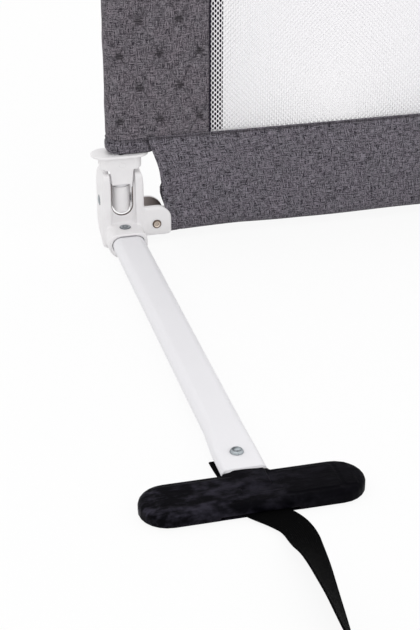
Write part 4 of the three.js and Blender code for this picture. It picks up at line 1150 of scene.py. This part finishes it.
def side_outer(s):
    """Middle of the fold: up the side, round the corner and along the top to the window."""
    run = s * SIDE_TOTAL
    centre = Vector((FOLD_LEFT + FOLD_RADIUS, FOLD_TOP - FOLD_RADIUS))
    straight = Vector((max(run - SIDE_LENGTH - ARC_LENGTH, 0), min(run - SIDE_LENGTH, 0)))
    return centre + side_normal(s) * FOLD_RADIUS + straight


def side_normal(s):
    angle = min(max((s * SIDE_TOTAL - SIDE_LENGTH) / FOLD_RADIUS, 0), math.pi / 2)
    return Vector((-math.cos(angle), math.sin(angle)))


def side_inner(s):
    """The window's edge, spread over the same shares."""
    reach = WINDOW_TOP - CORNER_REACH
    heights = [(0, COVER_BOTTOM), (SIDE_LENGTH / SIDE_TOTAL, reach), (1, WINDOW_TOP)]
    return Vector((WINDOW_LEFT, looked_up(heights, s)))


def cover_piece(name, node, strip, side, grid):
    shape = fitted_grid(*GRIDS[grid], strip.place(side), strip.flat, strip.shade, thickness=SHELL)
    piece = finished(name, shape, "quilted", "guard", "cloth", SHARP_CLOTH)
    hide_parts(node)


def top_line(height):
    """A level line over the window, for shares along it."""
    return lambda s: Vector((WINDOW_LEFT + (SPAN - 2 * WINDOW_LEFT) * s, height))


SIDE_STRIP = CoverStrip(side_outer, side_inner, side_normal)
TOP_STRIP = CoverStrip(top_line(FOLD_TOP), top_line(WINDOW_TOP), lambda s: Vector((0, 1)))
for side_name, side in SIDES.items():
    cover_piece(f"{side_name}_quilted_side", f"{side_name}_side_panel", SIDE_STRIP, side,
                f"{side_name}_side")
cover_piece("quilted_top", "top_panel", TOP_STRIP, SIDES["left"], "top")


# Nets, with the binding behind them at the window's sides

NET_FACE = 9.6
NET_OVERLAP = 2
BINDING_WIDTH = 16.4
BACK_NET_BOTTOM = 92
TAPE = 0.7 * MM
TAPE_STEP = 3
TAPE_SHADE = 0.25


def window_sheet(corners_, side, y, kind, grid, **options):
    """A flat cloth in the panel's plane, from its low and high corners, with slight ripples. A
    net's ripples fade towards its edges."""
    (x0, z0), (x1, z1) = corners_

    def spot(s, t):
        return x0 + (x1 - x0) * s, z0 + (z1 - z0) * t

    def place(s, t):
        x, z = spot(s, t)
        share = math.sin(math.pi * s) * math.sin(math.pi * t) if kind == "net" else 1
        return at_corner(side, x, y + cloth_ripple(x, z, kind) * share, z)

    def flat(s, t):
        x, z = spot(s, t)
        return x * MM, z * MM

    return fitted_grid(*grid, place, flat, **options)


def net_sheet(name, node, y, bottom, material):
    low, high = WINDOW_LEFT - NET_OVERLAP, SPAN - WINDOW_LEFT + NET_OVERLAP
    top = WINDOW_TOP + 1
    shape = window_sheet(((low, bottom), (high, top)), -1, y, "net", GRIDS["net"])
    piece = finished(name, shape, material, "guard", "net")
    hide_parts(node)


def tape_strip(name, corners_, y, side):
    (x0, z0), (x1, z1) = corners_
    grid = [max(2, round(abs(size) / TAPE_STEP)) for size in (x1 - x0, z1 - z0)]
    shape = window_sheet(corners_, side, y, "tape", grid, shades=lambda s, t: TAPE_SHADE,
                         thickness=TAPE)
    return finished(name, shape, "tape", "guard", "cloth", SHARP_TAPE)


net_sheet("front_net_knit", "front_net", -NET_FACE, WINDOW_BOTTOM - 1, "net")
net_sheet("back_net_knit", "back_net", NET_FACE, BACK_NET_BOTTOM, "back_net")
for side_name, side in SIDES.items():
    tape_strip(f"{side_name}_window_piping",
               ((WINDOW_LEFT - 1.2, WINDOW_BOTTOM + 0.5), (WINDOW_LEFT + 0.1, WINDOW_TOP + 1)),
               -COVER_HALF + 0.2, side)
    strip = tape_strip(f"{side_name}_window_binding",
                       ((WINDOW_LEFT - 2, WINDOW_BOTTOM - 4),
                        (WINDOW_LEFT + BINDING_WIDTH, WINDOW_TOP + 2)), NET_FACE - 1.4, side)


# Cuff round the upright, above the collar's flange

CUFF_LEFT = -12.4
CUFF_RIGHT = 31.0
CUFF_DEEP = 9.9
CUFF_BOTTOM = 89.6
CUFF_TOP = 124
CUFF_HEM = 101
CUFF_STEPS = 240
# The outline's power: 1 is round, and less is squarer
CUFF_SQUARE = 0.56
# Share of the cloth that is turned in below, where the cuff ends in a lip
CUFF_LIP = 0.1
CUFF_CLOTH = 0.9 * MM


def cuff_piece(side_name, side):
    half = (CUFF_RIGHT - CUFF_LEFT) / 2
    middle = (CUFF_RIGHT + CUFF_LEFT) / 2
    tall = CUFF_TOP - CUFF_BOTTOM
    ring = [tuple(math.copysign(abs(value) ** CUFF_SQUARE, value) for value in point)
            for point in arc((0, 0), 1, 0, 2 * math.pi, CUFF_STEPS)]
    runs = runs_along([(x * half, y * CUFF_DEEP) for x, y in ring])

    def share_up(s):
        return max(0.0, (s - CUFF_LIP) / (1 - CUFF_LIP))

    def place(s, t):
        x, y = place_at(ring, runs, t * runs[-1])
        up = share_up(s)
        z = CUFF_BOTTOM + up * tall
        lip = max(0.0, 1 - s / CUFF_LIP)
        swell = 0.7 * math.sin(math.pi * min(1.0, (z - CUFF_BOTTOM) / (CUFF_HEM - CUFF_BOTTOM)))
        neck = -0.5 * bell(z - CUFF_HEM, 1.2)
        inside = -1.6 * smooth_step((z - 103.5) / 2.5)
        tuck = -0.9 * smooth_step(1 - up / 0.05) - 4.0 * lip
        rise = (2.4 * max(-x, 0) ** 4 - 0.9 * max(x, 0) ** 4) * (1 - up) * (1 - 0.6 * lip)
        grow = swell + neck + inside + tuck + cloth_ripple(t * 70, z, "cuff")
        return at_corner(side, middle + x * (half + grow), y * (CUFF_DEEP + grow), z + rise)

    def flat(s, t):
        return t * runs[-1] * MM, (CUFF_BOTTOM + s * tall) * MM

    def shade(s, t):
        # Painted shade: a faint even shade over the cuff, and more at its hem line, inside its top
        # and on the turned-in lip
        z = CUFF_BOTTOM + share_up(s) * tall
        dark = 0.5 * smooth_step((z - 102) / 3) + 0.6 * smooth_step(1 - s / CUFF_LIP)
        return min(1.0, 0.09 + 0.5 * bell(z - CUFF_HEM, 0.8) + dark)

    shape = fitted_grid(*GRIDS["cuff"], place, flat, shade, joined=True, thickness=CUFF_CLOTH)
    piece = finished(f"{side_name}_cuff_cloth", shape, "cloth", "guard", "cloth", SHARP_CLOTH)
    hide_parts(f"{side_name}_cuff")
    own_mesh(piece)


for side_name, side in SIDES.items():
    cuff_piece(side_name, side)


# Skirt: from the window's lower seam down round the lower bar

SKIRT_TOP = 105.6
SKIRT_SEAM = 1.9
SKIRT_BACK_TOP = 96.5
SKIRT_BACK_LIFT = 8.6
SKIRT_START = 30
SKIRT_HEM = 9.0
BAR_Y = 4
BAR_Z = 19
WRAP_RADIUS = 12.0
WRAP_STEPS = 12
# Left edge of the skirt's front: height, and distance from the upright's axis
SKIRT_EDGE = [(5, 47.6), (13, 46.4), (20, 44.6), (26.2, 42.7), (32, 40.6), (38.8, 38.9),
              (45, 38.1), (52, 37.5), (60, 36.6), (72, 34.9), (77, 33.6), (82.2, 31.9),
              (88.4, 29.6), (94, 27.6), (99.4, 26.0), (104, 25.2)]
# Section from the front's top down to the lower bar, and from there up the back
SKIRT_FRONT = [(-11.7, SKIRT_TOP), (-11.5, 94), (-11.2, 85), (-10.9, 72), (-10.4, 60),
               (-9.8, 50), (-9.2, 40), (-8.6, 30)]
SKIRT_BACK = [(15.7, 30), (15.0, 40), (13.6, 60), (12.6, 85), (12.0, SKIRT_BACK_TOP)]


def skirt_piece():
    wrap = arc((BAR_Y, BAR_Z), WRAP_RADIUS, math.pi, math.pi, WRAP_STEPS)
    section = SKIRT_FRONT + wrap + SKIRT_BACK
    runs = runs_along(section)
    total = runs[-1]

    def down_cloth(t):
        """Share of the cloth's length, with closer rows at the upper seam."""
        return 0.25 * t + 0.75 * t * t

    def left_edge(y, z):
        """Left edge of the front, and further in on the back."""
        back = smooth_step((y - BAR_Y) / 8)
        return looked_up(SKIRT_EDGE, z) + back * (2.5 + 8 * smooth_step((z - 40) / 22))

    def place(s, t):
        t = down_cloth(t)
        y, z = place_at(section, runs, t * total)
        down = min(max((SKIRT_TOP - z) / (SKIRT_TOP - BAR_Z + 8), 0), 1)
        left = left_edge(y, z)
        x = left + (SPAN - 2 * left) * s
        inwards = min(x, SPAN - x)
        fold = math.sin(math.pi * down)
        wave = 1.5 * fold * noise.noise(Vector((x / 48, down * 1.3, 0.4)))
        wave += 1.1 * down * math.sin(x / 31.0)
        wave += 0.7 * fold * noise.noise(Vector((x / 16, down * 3.5, 2.2)))
        edge = inwards - left
        hem = 0.6 * smooth_step(1 - edge / SKIRT_HEM) - 0.7 * bell(edge - SKIRT_HEM, 1.3)
        side_of = -1 if t < 0.5 else 1
        drop = -1.3 * down ** 3 * (0.5 + 0.5 * math.sin(x / 27.0 + 1.1)) if t < 0.56 else 0.0
        if side_of > 0:
            under_panel = 1 - smooth_step((inwards - WINDOW_LEFT + 3) / 6)
            drop += SKIRT_BACK_LIFT * under_panel * smooth_step((z - 66) / (SKIRT_BACK_TOP - 66))
        return at_corner(-1, x, y + side_of * (wave + hem), z + drop)

    def flat(s, t):
        return (SKIRT_START + (SPAN - 2 * SKIRT_START) * s) * MM, down_cloth(t) * total * MM

    def shade(s, t):
        # Painted shade along the hem lines at the skirt's ends and at its upper seam
        edge = (SPAN - 2 * SKIRT_START) * min(s, 1 - s)
        seam = bell(down_cloth(t) * total - SKIRT_SEAM, 1.1)
        return min(1.0, 0.4 * bell(edge - SKIRT_HEM, 1.1) + 0.9 * seam)

    shape = fitted_grid(*GRIDS["skirt"], place, flat, shade, thickness=SHELL)
    piece = finished("skirt_cloth", shape, "cloth", None, "cloth", SHARP_CLOTH)
    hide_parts("skirt")
    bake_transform(piece)


skirt_piece()


# Stage: pale floor, white surroundings and soft light

# How bright the white surroundings are for lighting and where they show
WORLD_LIGHT = 0.955
WORLD_SEEN = 1.0
# How far the floor gives way to plain white where it shows
FLOOR_GLOW = 0.9
FLOOR_HALF = 12
# Soft lamps: place, size and power, all turned to the corner
LAMPS = (
    ((-1.6, -1.2, 3.0), 3.0, 14),
    ((1.6, -2.4, 2.2), 3.0, 9),
    ((-0.6, 1.8, 2.8), 3.0, 5),
)
LAMP_AIM = Vector((-0.6, 0.0, 0.15))


def make_stage():
    world = bpy.data.worlds.new("white_surroundings")
    world.use_nodes = True
    bpy.context.scene.world = world
    nodes = Nodes(world.node_tree)
    background = nodes.tree.nodes["Background"].inputs
    nodes.feed(background["Color"], (1, 1, 1, 1))
    nodes.feed(background["Strength"], nodes.number("ShaderNodeMapRange", None, {
        "Value": nodes.clear_rays(), "To Min": WORLD_LIGHT, "To Max": WORLD_SEEN}))

    finish = Finish("pale_floor", (0.86, 0.86, 0.86), 0.9, Specular_IOR_Level=0.1)
    mix = finish.node("ShaderNodeMixShader", None, {
        0: finish.clear_rays() * FLOOR_GLOW, 1: finish.shader.outputs[0],
        2: finish.node("ShaderNodeEmission").outputs[0]})
    finish.feed(finish.tree.nodes["Material Output"].inputs["Surface"], mix.outputs[0])
    shape = bmesh.new()
    bmesh.ops.create_grid(shape, x_segments=1, y_segments=1, size=FLOOR_HALF)
    mesh = mesh_of("floor", shape)
    mesh.materials.append(finish.material)
    linked("floor", mesh)

    for i, (spot, size, power) in enumerate(LAMPS):
        data = bpy.data.lights.new(f"soft_lamp_{i}", "AREA")
        data.size = size
        data.energy = power
        lamp = linked(f"soft_lamp_{i}", data)
        lamp.location = spot
        lamp.rotation_euler = (LAMP_AIM - Vector(spot)).to_track_quat("-Z", "Y").to_euler()
    bpy.context.scene.view_settings.view_transform = "Standard"


make_stage()
